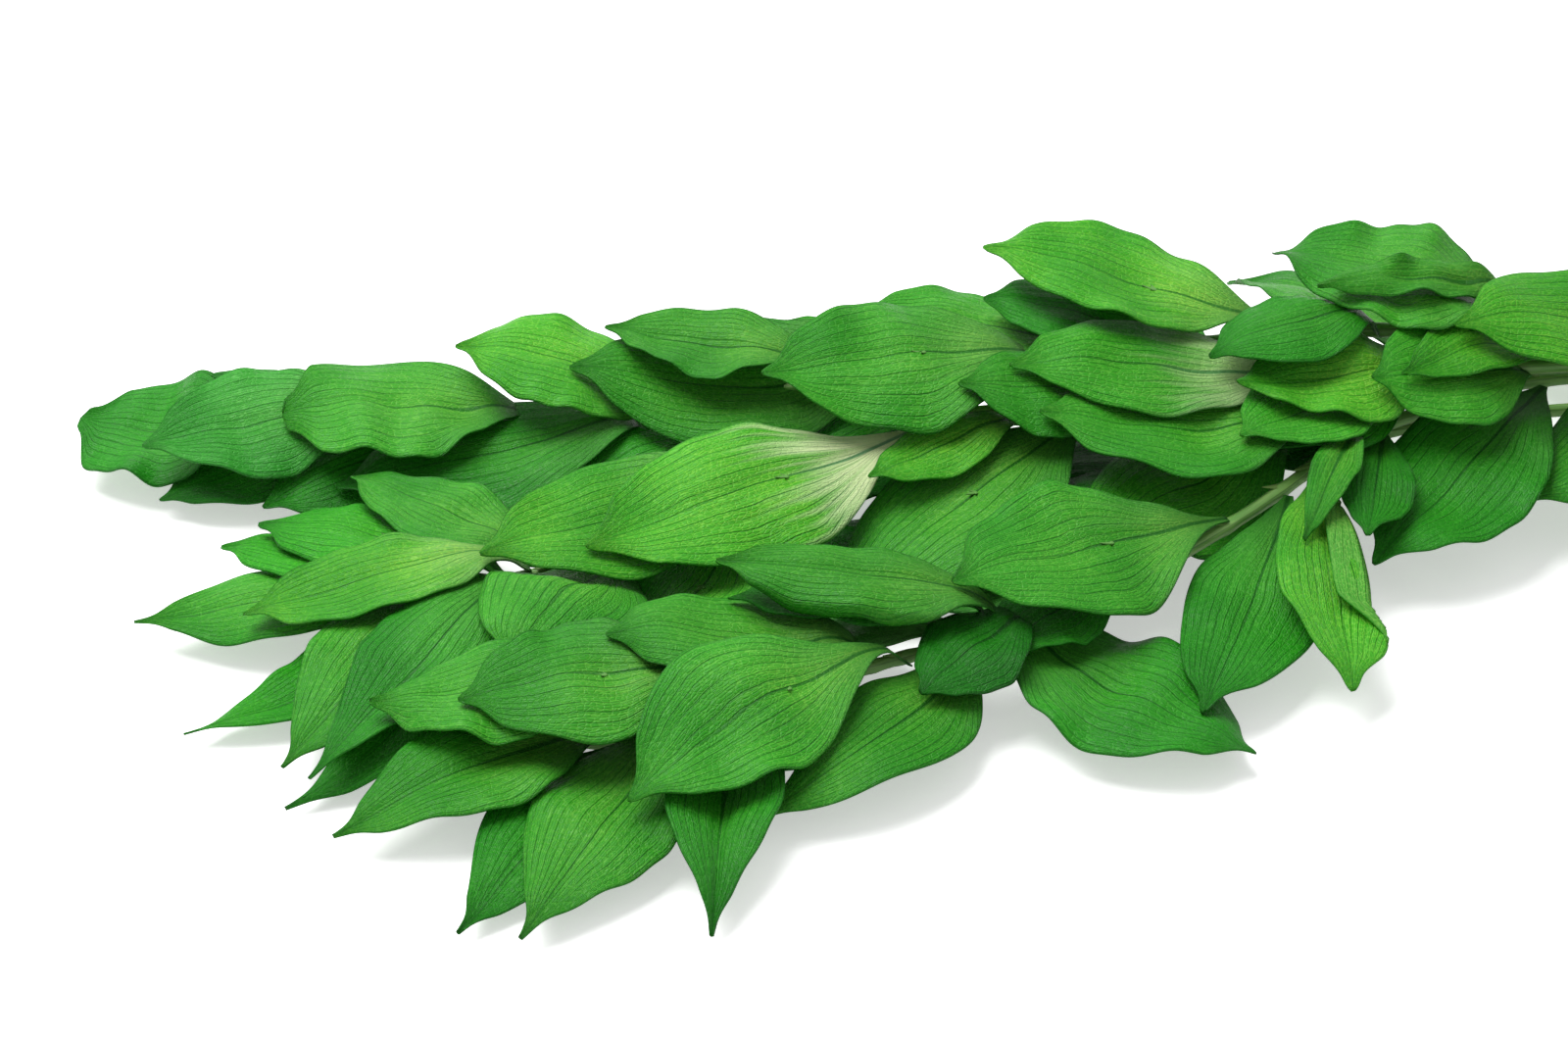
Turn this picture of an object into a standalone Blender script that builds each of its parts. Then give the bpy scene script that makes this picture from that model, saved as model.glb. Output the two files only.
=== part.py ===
"""A preserved ruscus bunch: five leafy stems, banded near their cut ends and laid on a table.

Metres, +Z up. The tips of the sprays point to -X and the cut ends to +X. The origin is on the
table under the middle of the bunch.

The stems are laid first, and then the leaves go on in the order of LEAVES. A leaf has a natural
shape of its own, and it is then settled: where it would cut the table, a stem or a leaf that is
already there, it bends until it passes just over it or just under it.
"""

import math

import bmesh
import bpy
import numpy as np

MM = 0.001

# Stems.
CUT_END_RADIUS = 0.0022
STEM_TIP_RADIUS = 0.0013
STEM_POINT_SPACING = 0.014

# Leaves.
LEAF_THICKNESS = 0.0006
STALK_HALF_WIDTH = 0.0011
TIP_HALF_WIDTH = 0.0004
WIDEST_AT = 0.47
BASE_TAPER = 2.0
TIP_TAPER = 0.75
ARCH = 0.10
BLADE_STARTS = 0.25
TOP_SEAT_TURN = 15
ROWS_ALONG = 9
ROWS_ACROSS = 4

# Clearances.
SEAT_GAP = 0.0003
LAYER_STEP = 0.0012

# Settling. Heights are kept on a grid of cells over the table. A leaf is held to its stem over
# its stalk's share of the length, and the rest of it may bend.
CELL = 0.00125
TABLE_CORNER = np.array([-0.24, -0.20])
TABLE_CELLS = (580, 300)
EMPTY = 1.0
SAMPLES_PER_EDGE = 9
PASS_UNDER = 0.004
REACH = 0.013
MOST_BEND = 0.002
SMALL = 0.00002
SETTLING_ROUNDS = 30
STALK_SHARE = 0.11
FREE_SHARE = 0.08

# Elastic band.
BAND_PLACE = 0.370
BAND_WIDTH = 0.005
BAND_THICKNESS = 0.0011

# The layout below is drawn from the place where the sprays part. This is the middle of the
# finished bunch in it.
MIDDLE = np.array([0.1223, -0.0335, 0.0])

# Routes of the stems, from the cut end to the tip, in millimetres from that place.
STEM_ROUTES = {
    "front": [
        (418, 14, 3), (392, 22, 3), (370, 25, 4), (330, 27, 8), (270, 30, 18), (225, 29, 25),
        (197, 26, 26), (178, 22, 25), (153, 9, 24), (138, 2, 22), (121, -15, 19), (99, -34, 16),
        (75, -53, 14), (55, -64, 13), (26, -76, 12), (0, -86, 10), (-24, -94, 8), (-44, -101, 6),
    ],
    "middle": [
        (424, 24, 6.5), (370, 27.4, 8), (330, 28, 14), (270, 25, 26), (225, 22, 32),
        (195, 20, 33), (158, 17, 32), (122, 15, 30), (90, 11, 28), (58, 7, 26), (34, 2, 24),
        (0, -14, 18), (-34, -31, 13), (-60, -41, 11), (-74, -45, 10), (-89, -47, 8),
    ],
    "back": [
        (412, 48, 2.5), (370, 34.4, 4), (330, 38, 7), (270, 44, 15), (200, 42, 22), (150, 38, 20),
        (100, 32, 18), (26, 24, 15), (-35, 24, 14), (-66, 25, 14), (-99, 25, 12), (-125, 25, 9),
        (-144, 24, 7),
    ],
    "upper": [
        (408, 36, 6.5), (370, 32, 8), (330, 35, 15), (270, 32, 30), (225, 31, 36), (194, 31, 38),
        (157, 31, 37), (131, 31, 36), (97, 28, 34), (63, 22, 32), (24, 19, 30), (0, 18, 28),
    ],
    "low": [
        (415, 32, 2.5), (370, 29.7, 4), (330, 31, 5), (270, 36, 8), (225, 36, 11), (190, 32, 12),
        (150, 22, 12), (115, 8, 12), (85, -4, 12), (60, -14, 10),
    ],
}

# Every leaf in the order of laying: its stem, the distance of its base from the stem's tip, the
# angle it turns from the stem's growth (plus is to the left), its length and width, its slope
# where it leaves the stem and at its tip, its roll (plus is left edge down), its sideways sweep,
# and the fold of each half up from the midrib. Millimetres and degrees. A leaf marked FILL is
# mostly hidden by others: its room is kept, and it has no solid of its own.
SOLID = True
FILL = False
LEAVES = [
    # Lying on the table, or close to it.
    ("back", 385, -38, 76, 36, 4, -14, -4, 5, 5, SOLID),
    ("back", 318, -48, 78, 36, 2, -14, -6, -5, 5, SOLID),
    ("back", 262, -50, 76, 35, 2, -14, -6, 0, 8, SOLID),
    ("back", 210, -42, 74, 34, 2, -12, -6, 5, 5, FILL),
    ("back", 165, -34, 66, 32, 2, -10, -4, 0, 6, FILL),
    ("low", 245, 34, 72, 36, 0, -4, 6, 5, 6, SOLID),
    ("back", 34, 36, 56, 26, -4, -8, 4, 0, 4, FILL),
    ("back", 66, 30, 58, 28, -6, -8, 6, 0, 4, FILL),
    ("back", 112, 38, 72, 36, -4, -8, 6, -8, 4, SOLID),
    ("middle", 35, 58, 82, 20, -4, -4, 2, 0, 8, FILL),
    ("middle", 37, 54, 98, 32, -6, -4, 2, -38, 8, SOLID),
    ("middle", 8, 56, 72, 24, -4, -4, 4, -46, 8, SOLID),
    ("front", 11, 42, 71, 29, -2, -2, 0, 0, 6, SOLID),
    ("front", 22, 50, 76, 35, 0, -4, 0, -6, 4, SOLID),
    ("front", 34, 69, 72, 29, -2, -4, 0, 0, 36, SOLID),
    ("front", 91, 46, 76, 30, -2, -6, 6, -38, 4, SOLID),
    ("front", 112, 22, 56, 26, -2, -6, 6, 0, 4, FILL),
    ("front", 106, 104, 64, 43, 2, -8, -10, 28, 4, SOLID),
    ("front", 187, 32, 79, 34, -4, -8, -4, -8, 4, SOLID),
    ("front", 197, 42, 79, 34, -4, -8, 4, 0, 28, SOLID),
    ("front", 222, 46, 50, 28, -6, -10, 0, 0, 6, FILL),
    ("low", 58, 20, 62, 32, 0, 0, 8, 0, 4, FILL),
    ("low", 108, 12, 58, 40, 8, 4, 8, 0, 4, FILL),
    ("front", 270, 44, 80, 42, -6, -14, 4, -6, 4, SOLID),
    ("front", 322, 32, 74, 36, -2, -8, 6, 0, 6, SOLID),
    # The back spray, from its tip.
    ("back", 16, 3, 52, 42, 2, -2, 20, -22, 4, SOLID),
    ("back", 46, -16, 50, 30, 10, 0, 8, 4, 4, SOLID),
    ("back", 44, 18, 62, 36, 22, -8, 16, -4, 8, SOLID),
    ("back", 80, 14, 62, 44, 18, -8, 10, -2, 22, SOLID),
    ("back", 112, -12, 54, 33, 26, 2, 12, 8, 8, SOLID),
    ("back", 170, -2, 80, 40, 14, 0, 26, -4, 4, SOLID),
    # The upper stem.
    ("upper", 10, -18, 58, 26, 3, 0, 8, 4, 12, SOLID),
    ("upper", 78, -22, 60, 30, 8, 4, 8, 0, 6, FILL),
    ("upper", 64, 12, 73, 41, 12, 2, 20, -4, 4, SOLID),
    ("upper", 104, -12, 54, 34, 13, 4, 12, 0, 6, SOLID),
    # The middle spray, from its tip.
    ("middle", 3, 0, 66, 30, 0, -4, 4, 0, 6, SOLID),
    ("middle", 13, 58, 72, 34, 5, -4, 2, -6, 6, SOLID),
    ("middle", 16, -29, 63, 28, 4, -2, 8, 0, 6, FILL),
    ("middle", 24, -30, 62, 30, 8, 0, 12, 0, 4, SOLID),
    ("middle", 27, 55, 84, 32, 2, -4, 0, -18, 6, SOLID),
    ("middle", 30, -2, 70, 33, 3, 2, 14, 0, 4, SOLID),
    ("middle", 36, -46, 57, 30, 4, 0, 12, -4, 4, SOLID),
    ("middle", 52, 46, 60, 38, 2, -4, -4, 0, 4, SOLID),
    ("middle", 92, 34, 78, 38, 2, -4, 0, 0, 16, SOLID),
    ("middle", 96, 2, 80, 38, 10, 2, 16, 0, 4, SOLID),
    ("middle", 135, 13, 96, 40, -5, 4, 30, -8, 4, SOLID),
    ("middle", 157, 34, 55, 20, 0, -4, 10, 0, 4, FILL),
    ("middle", 172, 38, 84, 44, 0, -6, 14, 4, 4, SOLID),
    ("middle", 192, 18, 52, 30, 14, 4, 14, -16, 4, SOLID),
    ("middle", 220, 3, 66, 30, 8, 2, 12, 0, 4, SOLID),
    ("upper", 126, -11, 78, 38, 20, 6, 8, -4, 4, SOLID),
    # The front spray, from its tip.
    ("front", 3, 12, 64, 31, 2, -4, 8, 0, 6, SOLID),
    ("front", 7, -14, 50, 18, 4, 0, 8, 0, 6, FILL),
    ("front", 14, -22, 59, 25, 8, 6, 8, 2, 8, SOLID),
    ("front", 31, -7, 58, 38, 8, 0, 16, 0, 4, SOLID),
    ("front", 68, -12, 58, 36, 10, 2, 14, 0, 4, SOLID),
    ("front", 76, 16, 82, 42, 6, -6, 14, 6, 4, SOLID),
    ("front", 106, -14, 64, 30, 8, 2, 12, 0, 4, FILL),
    ("front", 102, -28, 67, 30, 10, 6, 22, 0, 10, SOLID),
    ("front", 168, -10, 79, 42, 12, 0, 16, 0, 4, SOLID),
    # The top of the pile, at the right.
    ("front", 213, 36, 46, 16, 4, -4, 0, 0, 10, SOLID),
    ("front", 210, -27, 74, 38, 17, 4, 16, 0, 4, SOLID),
    ("middle", 286, 18, 44, 34, 14, 4, 24, -12, 6, SOLID),
    ("middle", 266, 12, 58, 28, 8, 2, 22, -4, 16, SOLID),
    ("middle", 250, 30, 50, 30, -6, -2, 8, 0, 6, FILL),
    ("upper", 150, 12, 50, 26, 6, 4, 8, 0, 6, FILL),
    ("upper", 184, -14, 62, 46, 16, 2, 18, -4, 4, SOLID),
    ("upper", 196, 22, 60, 26, 0, -2, 14, 0, 4, FILL),
    ("upper", 178, 18, 60, 20, 34, -8, 14, -6, 8, FILL),
    ("upper", 238, 13, 76, 34, 14, 2, 18, 0, 4, SOLID),
    ("upper", 266, 34, 76, 34, 8, -4, 18, -8, 4, SOLID),
    ("middle", 362, 36, 74, 36, 4, -8, 8, -8, 6, SOLID),
    ("upper", 288, -22, 72, 35, 10, -6, 6, 0, 6, FILL),
    ("middle", 402, 26, 70, 34, 6, -8, 8, 0, 6, FILL),
]

STEM_COLOR = (0.13, 0.26, 0.06, 1.0)
LEAF_COLOR = (0.06, 0.30, 0.035, 1.0)
BAND_COLOR = (0.55, 0.42, 0.22, 1.0)


def clear_scene():
    for thing in list(bpy.data.objects):
        bpy.data.objects.remove(thing, do_unlink=True)


def principled(name, color, roughness):
    material = bpy.data.materials.new(name)
    material.use_nodes = True
    shader = material.node_tree.nodes["Principled BSDF"]
    shader.inputs["Base Color"].default_value = color
    shader.inputs["Roughness"].default_value = roughness
    shader.inputs["Metallic"].default_value = 0.0
    return material


def smooth_route(points, spacing):
    """Points at an even spacing along the smooth curve that passes through the given ones."""
    points = np.array(points, float)
    padded = np.vstack([2 * points[0] - points[1], points, 2 * points[-1] - points[-2]])
    share = np.linspace(0, 1, 24, endpoint=False)[:, None]
    pieces = []
    for before, start, end, after in zip(padded, padded[1:], padded[2:], padded[3:]):
        bend = 2 * before - 5 * start + 4 * end - after
        turn = 3 * start - before - 3 * end + after
        pieces.append(start + 0.5 * ((end - before) * share + bend * share**2 + turn * share**3))
    dense = np.vstack(pieces + [points[-1:]])
    steps = np.linalg.norm(np.diff(dense, axis=0), axis=1)
    walked = np.concatenate([[0], np.cumsum(steps)])
    stops = np.linspace(0, walked[-1], round(walked[-1] / spacing) + 1)
    return np.column_stack([np.interp(stops, walked, dense[:, axis]) for axis in range(3)])


def stem_radii(count):
    """The radius at each point of a stem, from its cut end to its tip."""
    return np.linspace(CUT_END_RADIUS, STEM_TIP_RADIUS, count)


def at_distance_from_tip(route, radii, distance):
    """The point, the growth direction in degrees and the radius at this distance from the tip."""
    steps = np.linalg.norm(np.diff(route, axis=0), axis=1)
    left = np.concatenate([np.cumsum(steps[::-1])[::-1], [0]])
    order = slice(None, None, -1)
    point = np.array([np.interp(distance, left[order], route[order, axis]) for axis in range(3)])
    radius = np.interp(distance, left[order], radii[order])
    nearest = min(int(np.searchsorted(-left, -distance)), len(route) - 1)
    growth = route[nearest] - route[nearest - 1]
    return point, math.degrees(math.atan2(growth[1], growth[0])), radius


def leaf_template():
    """A flat triangulated grid for one leaf: each point's share along and across, and the faces."""
    grid = bmesh.new()
    bmesh.ops.create_grid(grid, x_segments=ROWS_ALONG, y_segments=ROWS_ACROSS, size=1.0)
    bmesh.ops.triangulate(grid, faces=grid.faces)
    along = np.array([(1 + v.co.x) / 2 for v in grid.verts])
    across = np.array([v.co.y for v in grid.verts])
    faces = np.array([[v.index for v in face.verts] for face in grid.faces])
    grid.free()
    return along, across, faces


def half_width(along, width):
    """Half the leaf's width at this share of its length, tapered at the stalk and at the tip."""
    swell = np.sin(math.pi * along ** (math.log(0.5) / math.log(WIDEST_AT)))
    taper = BASE_TAPER + (TIP_TAPER - BASE_TAPER) * along
    least = STALK_HALF_WIDTH + (TIP_HALF_WIDTH - STALK_HALF_WIDTH) * along
    return least + (0.5 * width - least) * np.clip(swell, 0, 1) ** taper


def natural_leaf(along, across, base, heading, length, width, rise, dip, roll, sweep, fold):
    """The leaf's points as it would hang with nothing under it."""
    steps = np.linspace(0, 1, 61)
    slope = np.radians(rise + (dip - rise) * steps)
    course = np.radians(heading + sweep * steps)
    run = np.column_stack(
        [np.cos(slope) * np.cos(course), np.cos(slope) * np.sin(course), np.sin(slope)]
    )
    midrib = np.vstack([np.zeros(3), np.cumsum((run[1:] + run[:-1]) / 2, axis=0)])
    midrib = base + midrib * length / (len(steps) - 1)
    points = np.column_stack([np.interp(along, steps, midrib[:, axis]) for axis in range(3)])
    course = np.interp(along, steps, course)
    ease = np.clip(along / BLADE_STARTS, 0, 1)
    ease = ease * ease * (3 - 2 * ease)
    half = half_width(along, width)
    tilt = np.radians(roll - fold * np.sign(across)) * ease
    offset = across * half
    points[:, 0] -= np.sin(course) * offset * np.cos(tilt)
    points[:, 1] += np.cos(course) * offset * np.cos(tilt)
    points[:, 2] -= offset * np.sin(tilt) + ARCH * ease * half * across**2
    return points


def sample_weights(along, faces):
    """Rows that turn a leaf's points into close-set samples of its faces."""
    shares = []
    count = SAMPLES_PER_EDGE
    for first in range(count + 1):
        for second in range(count + 1 - first):
            shares.append((first / count, second / count, (count - first - second) / count))
    weights = np.zeros((len(faces) * len(shares), len(along)))
    row = 0
    for face in faces:
        for share in shares:
            weights[row, face] = share
            row += 1
    return weights


def cells(points):
    """The table cell under each point."""
    found = ((points[:, :2] - TABLE_CORNER) / CELL).astype(int)
    return found[:, 0], found[:, 1]


def spread(points):
    """The cells under these points and all their neighbours."""
    column, row = cells(points)
    steps = np.array([(x, y) for x in (-1, 0, 1) for y in (-1, 0, 1)])
    return (column + steps[:, :1]).ravel(), (row + steps[:, 1:]).ravel()


def laid_map(points, clear):
    """The lowest and the highest of these points over each table cell, and the room they need."""
    lowest = np.full(TABLE_CELLS, EMPTY)
    highest = np.full(TABLE_CELLS, -EMPTY)
    place = spread(points)
    np.minimum.at(lowest, place, np.tile(points[:, 2], 9))
    np.maximum.at(highest, place, np.tile(points[:, 2], 9))
    return lowest - clear, highest + clear


def crossings(samples, shares, laid, own):
    """The laid things that a leaf crosses: at which samples, and how a leaf passes each of them."""
    place = cells(samples)
    found = []
    for name, (below, above) in laid.items():
        crossed = (above[place] > 0) & (shares > (STALK_SHARE if name == own else FREE_SHARE))
        if crossed.any():
            lower = below[place][crossed]
            upper = above[place][crossed]
            higher = (samples[crossed, 2] - (lower + upper) / 2).mean()
            found.append((crossed, lower, upper, name != own and higher < -PASS_UNDER))
    return found


def limits(count, found):
    """The lowest and the highest for each sample. A leaf goes under what has no room over it."""
    under = [index for index, (_, _, _, lower_by_nature) in enumerate(found) if lower_by_nature]
    blocked = [None]
    while blocked:
        floor = np.full(count, LEAF_THICKNESS / 2)
        for index, (crossed, _, upper, _) in enumerate(found):
            if index not in under:
                floor[crossed] = np.maximum(floor[crossed], upper)
        blocked = [index for index in under if (floor[found[index][0]] > found[index][1]).any()]
        under = [index for index in under if index not in blocked]
    ceiling = np.full(count, EMPTY)
    for index in under:
        crossed, lower, _, _ = found[index]
        ceiling[crossed] = np.minimum(ceiling[crossed], lower)
    return floor, ceiling


def bend(samples, points, miss):
    """How far each point of the leaf moves for the samples that miss by this much."""
    wrong = miss > SMALL
    if not wrong.any():
        return np.zeros(len(points))
    away = samples[wrong][:, None, :2] - points[None, :, :2]
    near = np.exp(-(away**2).sum(2) / (2 * REACH**2))
    return (np.minimum(miss[wrong], MOST_BEND)[:, None] * near).max(0)


def settle(points, along, weights, laid, own):
    """Bends a leaf gently until every sample clears the table and what it crosses."""
    points = points.copy()
    held = np.clip(along / STALK_SHARE, 0, 1)
    samples = weights @ points
    floor, ceiling = limits(len(samples), crossings(samples, weights @ along, laid, own))
    for _ in range(SETTLING_ROUNDS):
        samples = weights @ points
        low = bend(samples, points, floor - samples[:, 2])
        high = bend(samples, points, samples[:, 2] - ceiling)
        if not (low.any() or high.any()):
            break
        points[:, 2] += held * (low - high)
    return points


def leaf_base(stem, distance, turn):
    """Where a leaf leaves its stem, and its heading: on top, or at the side it turns to."""
    route, radii = stem
    point, growth, radius = at_distance_from_tip(route, radii, distance)
    clear = radius + SEAT_GAP
    if abs(turn) < TOP_SEAT_TURN:
        return point + [0, 0, clear + LEAF_THICKNESS / 2], growth + turn
    side = math.radians(growth + math.copysign(90, turn))
    clear += STALK_HALF_WIDTH * abs(math.cos(math.radians(turn)))
    return point + [math.cos(side) * clear, math.sin(side) * clear, 0], growth + turn


def make_leaf(name, points, faces, material, collection):
    """A leaf is its open surface, with Solidify for its thickness."""
    mesh = bpy.data.meshes.new(name)
    mesh.from_pydata((points - MIDDLE).tolist(), [], faces.tolist())
    mesh.shade_smooth()
    leaf = bpy.data.objects.new(name, mesh)
    leaf.data.materials.append(material)
    thicken = leaf.modifiers.new("thickness", "SOLIDIFY")
    thicken.thickness = LEAF_THICKNESS
    thicken.offset = 0
    collection.objects.link(leaf)


def make_stem(name, route, radii, material, collection):
    """A stem is a round bevelled curve that thins towards its tip."""
    curve = bpy.data.curves.new(name, "CURVE")
    curve.dimensions = "3D"
    curve.bevel_depth = 1.0
    curve.bevel_resolution = 2
    curve.use_fill_caps = True
    spline = curve.splines.new("POLY")
    spline.points.add(len(route) - 1)
    for point, place, radius in zip(spline.points, route - MIDDLE, radii):
        point.co = (*place, 1)
        point.radius = radius
    curve.materials.append(material)
    collection.objects.link(bpy.data.objects.new(name, curve))


def band_outline(centers, radius, count=36):
    """The taut loop round the stems: in each direction it stands off the furthest stem."""
    angles = np.linspace(0, 2 * math.pi, count, endpoint=False)
    ways = np.column_stack([np.cos(angles), np.sin(angles)])
    return np.array([centers[np.argmax(centers @ way)] + way * radius for way in ways])


def make_band(stems, material, collection):
    """The band is the loop's wall: two outlines, one beside the other along the stems."""
    ends = (BAND_PLACE - BAND_WIDTH / 2, BAND_PLACE + BAND_WIDTH / 2)
    centers = []
    for route, _ in stems.values():
        order = np.argsort(route[:, 0])
        for place in ends:
            centers.append([np.interp(place, route[order, 0], route[order, 1 + k]) for k in (0, 1)])
    inner = CUT_END_RADIUS + SEAT_GAP
    loop = band_outline(np.array(centers), inner + BAND_THICKNESS / 2)
    wall = bmesh.new()
    rings = []
    for place in ends:
        rings.append([wall.verts.new(np.array([place, *point]) - MIDDLE) for point in loop])
    for index in range(len(loop)):
        after = (index + 1) % len(loop)
        wall.faces.new((rings[0][index], rings[0][after], rings[1][after], rings[1][index]))
    mesh = bpy.data.meshes.new("elastic_band")
    wall.to_mesh(mesh)
    wall.free()
    mesh.shade_smooth()
    band = bpy.data.objects.new("elastic_band", mesh)
    band.data.materials.append(material)
    thicken = band.modifiers.new("thickness", "SOLIDIFY")
    thicken.thickness = BAND_THICKNESS
    thicken.offset = 0
    collection.objects.link(band)


def build():
    clear_scene()
    collection = bpy.data.collections.new("preserved_ruscus_bunch")
    bpy.context.scene.collection.children.link(collection)
    stem_green = principled("stem_green", STEM_COLOR, 0.5)
    leaf_green = principled("leaf_green", LEAF_COLOR, 0.45)
    elastic = principled("elastic", BAND_COLOR, 0.6)

    stems = {}
    laid = {}
    for name, points in STEM_ROUTES.items():
        route = smooth_route(np.array(points) * MM, STEM_POINT_SPACING)
        radii = stem_radii(len(route))
        stems[name] = (route, radii)
        laid[name] = laid_map(smooth_route(route, CELL), CUT_END_RADIUS + SEAT_GAP + LEAF_THICKNESS)
        make_stem(f"{name}_stem", route, radii, stem_green, collection)
    make_band(stems, elastic, collection)

    along, across, faces = leaf_template()
    weights = sample_weights(along, faces)
    counts = dict.fromkeys(stems, 0)
    for stem, distance, turn, length, width, rise, dip, roll, sweep, fold, solid in LEAVES:
        base, heading = leaf_base(stems[stem], distance * MM, turn)
        points = natural_leaf(
            along, across, base, heading, length * MM, width * MM, rise, dip, roll, sweep, fold
        )
        points = settle(points, along, weights, laid, stem)
        counts[stem] += 1
        name = f"{stem}_leaf_{counts[stem]:02d}"
        laid[name] = laid_map(weights @ points, LAYER_STEP)
        if solid:
            make_leaf(name, points, faces, leaf_green, collection)


build()
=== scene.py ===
# %% [markdown]
# # A preserved ruscus bunch
# Ruscus is a shrub whose flat green "leaves" are really widened stems. Florists preserve whole
# sprays of it with glycerine, tie a handful together and lay the bunch flat. Here the packed
# model gives the place and the size of each piece, and this lesson adds the fine surface: thin
# wavy leaves with arching veins, ridged stems, papery bracts and a rubber band.

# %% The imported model
import math

import bpy
import numpy as np
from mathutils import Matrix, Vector


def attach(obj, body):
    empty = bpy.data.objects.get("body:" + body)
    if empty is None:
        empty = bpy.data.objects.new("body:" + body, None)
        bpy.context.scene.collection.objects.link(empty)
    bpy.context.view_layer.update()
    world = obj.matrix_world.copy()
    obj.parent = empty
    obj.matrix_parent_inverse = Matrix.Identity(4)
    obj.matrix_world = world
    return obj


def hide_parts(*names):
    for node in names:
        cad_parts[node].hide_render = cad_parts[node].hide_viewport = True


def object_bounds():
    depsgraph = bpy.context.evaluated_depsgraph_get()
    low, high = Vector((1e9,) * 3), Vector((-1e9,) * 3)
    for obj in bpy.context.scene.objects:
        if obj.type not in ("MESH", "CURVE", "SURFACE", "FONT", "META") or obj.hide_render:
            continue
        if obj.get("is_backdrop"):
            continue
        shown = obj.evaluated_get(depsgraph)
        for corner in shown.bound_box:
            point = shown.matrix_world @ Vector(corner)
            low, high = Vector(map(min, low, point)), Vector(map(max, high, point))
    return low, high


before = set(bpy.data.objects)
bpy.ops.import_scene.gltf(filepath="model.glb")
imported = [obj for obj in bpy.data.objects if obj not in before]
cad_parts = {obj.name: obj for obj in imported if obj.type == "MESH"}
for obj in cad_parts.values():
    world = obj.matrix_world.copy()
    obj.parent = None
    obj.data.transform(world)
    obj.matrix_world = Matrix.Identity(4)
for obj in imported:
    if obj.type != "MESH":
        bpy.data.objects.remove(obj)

cad_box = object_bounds()
MM = 0.001
print("CAD box, mm:", [[round(value / MM, 1) for value in corner] for corner in cad_box])
print("CAD pieces:", len(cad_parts))

# %% [markdown]
# ## The camera
# A table-top view with a long lens, looking down by 33 degrees at the place where the sprays
# part. The cut ends run out of the picture on the right.

# %% The camera
PARTING = Vector((-0.1223, 0.0335, 0.0))
VIEW_DOWN = math.radians(33)
VIEW_DISTANCE = 0.783
camera_data = bpy.data.cameras.new("camera")
camera_data.sensor_fit = "HORIZONTAL"
camera_data.angle = math.radians(28)
camera_data.clip_start = 0.01
camera = bpy.data.objects.new("camera", camera_data)
away = Vector((0, -math.cos(VIEW_DOWN), math.sin(VIEW_DOWN)))
camera.location = PARTING + VIEW_DISTANCE * away
camera.rotation_euler = (math.pi / 2 - VIEW_DOWN, 0, 0)
bpy.context.scene.collection.objects.link(camera)
bpy.context.scene.camera = camera
print("camera height above the table, mm:", round(camera.location.z / MM))

# %% [markdown]
# ## Small helpers for shader nodes
# A material is a graph of nodes. These few helpers add a node and link what goes into it, so
# that each material below reads like a sum. An input may be a number, a colour or the output of
# another node.

# %% Shader helpers
def feed(tree, target, source):
    """Links a node's output to an input, or sets the input's own value."""
    if isinstance(source, bpy.types.NodeSocket):
        tree.links.new(source, target)
    else:
        target.default_value = source


def calc(tree, operation, first, second=0.0):
    node = tree.nodes.new("ShaderNodeMath")
    node.operation = operation
    feed(tree, node.inputs[0], first)
    feed(tree, node.inputs[1], second)
    return node.outputs[0]


def times(tree, first, second):
    return calc(tree, "MULTIPLY", first, second)


def ease(tree, value, start, end, at_start=0.0, at_end=1.0):
    """Goes smoothly from at_start to at_end while the value goes from start to end."""
    node = tree.nodes.new("ShaderNodeMapRange")
    node.interpolation_type = "SMOOTHSTEP"
    for place, source in enumerate((value, start, end, at_start, at_end)):
        feed(tree, node.inputs[place], source)
    return node.outputs[0]


def blend(tree, share, first, second, way="MIX"):
    node = tree.nodes.new("ShaderNodeMix")
    node.data_type = "RGBA"
    node.blend_type = way
    feed(tree, node.inputs[0], share)
    feed(tree, node.inputs[6], first)
    feed(tree, node.inputs[7], second)
    return node.outputs[2]


def noise(tree, place, scale, detail=2.0):
    node = tree.nodes.new("ShaderNodeTexNoise")
    feed(tree, node.inputs["Vector"], place)
    node.inputs["Scale"].default_value = scale
    node.inputs["Detail"].default_value = detail
    return node.outputs["Fac"]


def stretched(tree, place, scale):
    """The same place with each axis multiplied by its own scale."""
    node = tree.nodes.new("ShaderNodeVectorMath")
    node.operation = "MULTIPLY"
    feed(tree, node.inputs[0], place)
    node.inputs[1].default_value = scale
    return node.outputs[0]


def stored(tree, name, output="Vector"):
    """What the mesh stores under this name for each of its points."""
    node = tree.nodes.new("ShaderNodeAttribute")
    node.attribute_name = name
    return node.outputs[output]


def lines(tree, value, width):
    """1 on thin lines where the value is a whole number, 0 between them."""
    gap = calc(tree, "PINGPONG", value, 0.5)
    return ease(tree, gap, 0.0, width, 1.0, 0.0)


def bumped(tree, height, distance, strength):
    node = tree.nodes.new("ShaderNodeBump")
    node.inputs["Distance"].default_value = distance
    node.inputs["Strength"].default_value = strength
    feed(tree, node.inputs["Height"], height)
    return node.outputs["Normal"]


def new_material(name):
    material = bpy.data.materials.new(name)
    material.use_nodes = True
    tree = material.node_tree
    return material, tree, tree.nodes["Principled BSDF"]


def finish(tree, shader, color, roughness, height, depth, strength):
    """Gives the shader its colour, its roughness and a bump from the height."""
    tree.links.new(color, shader.inputs["Base Color"])
    feed(tree, shader.inputs["Roughness"], roughness)
    tree.links.new(bumped(tree, height, depth, strength), shader.inputs["Normal"])


print("materials are built with: calc, times, ease, blend, noise, lines, bumped, finish")

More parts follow.
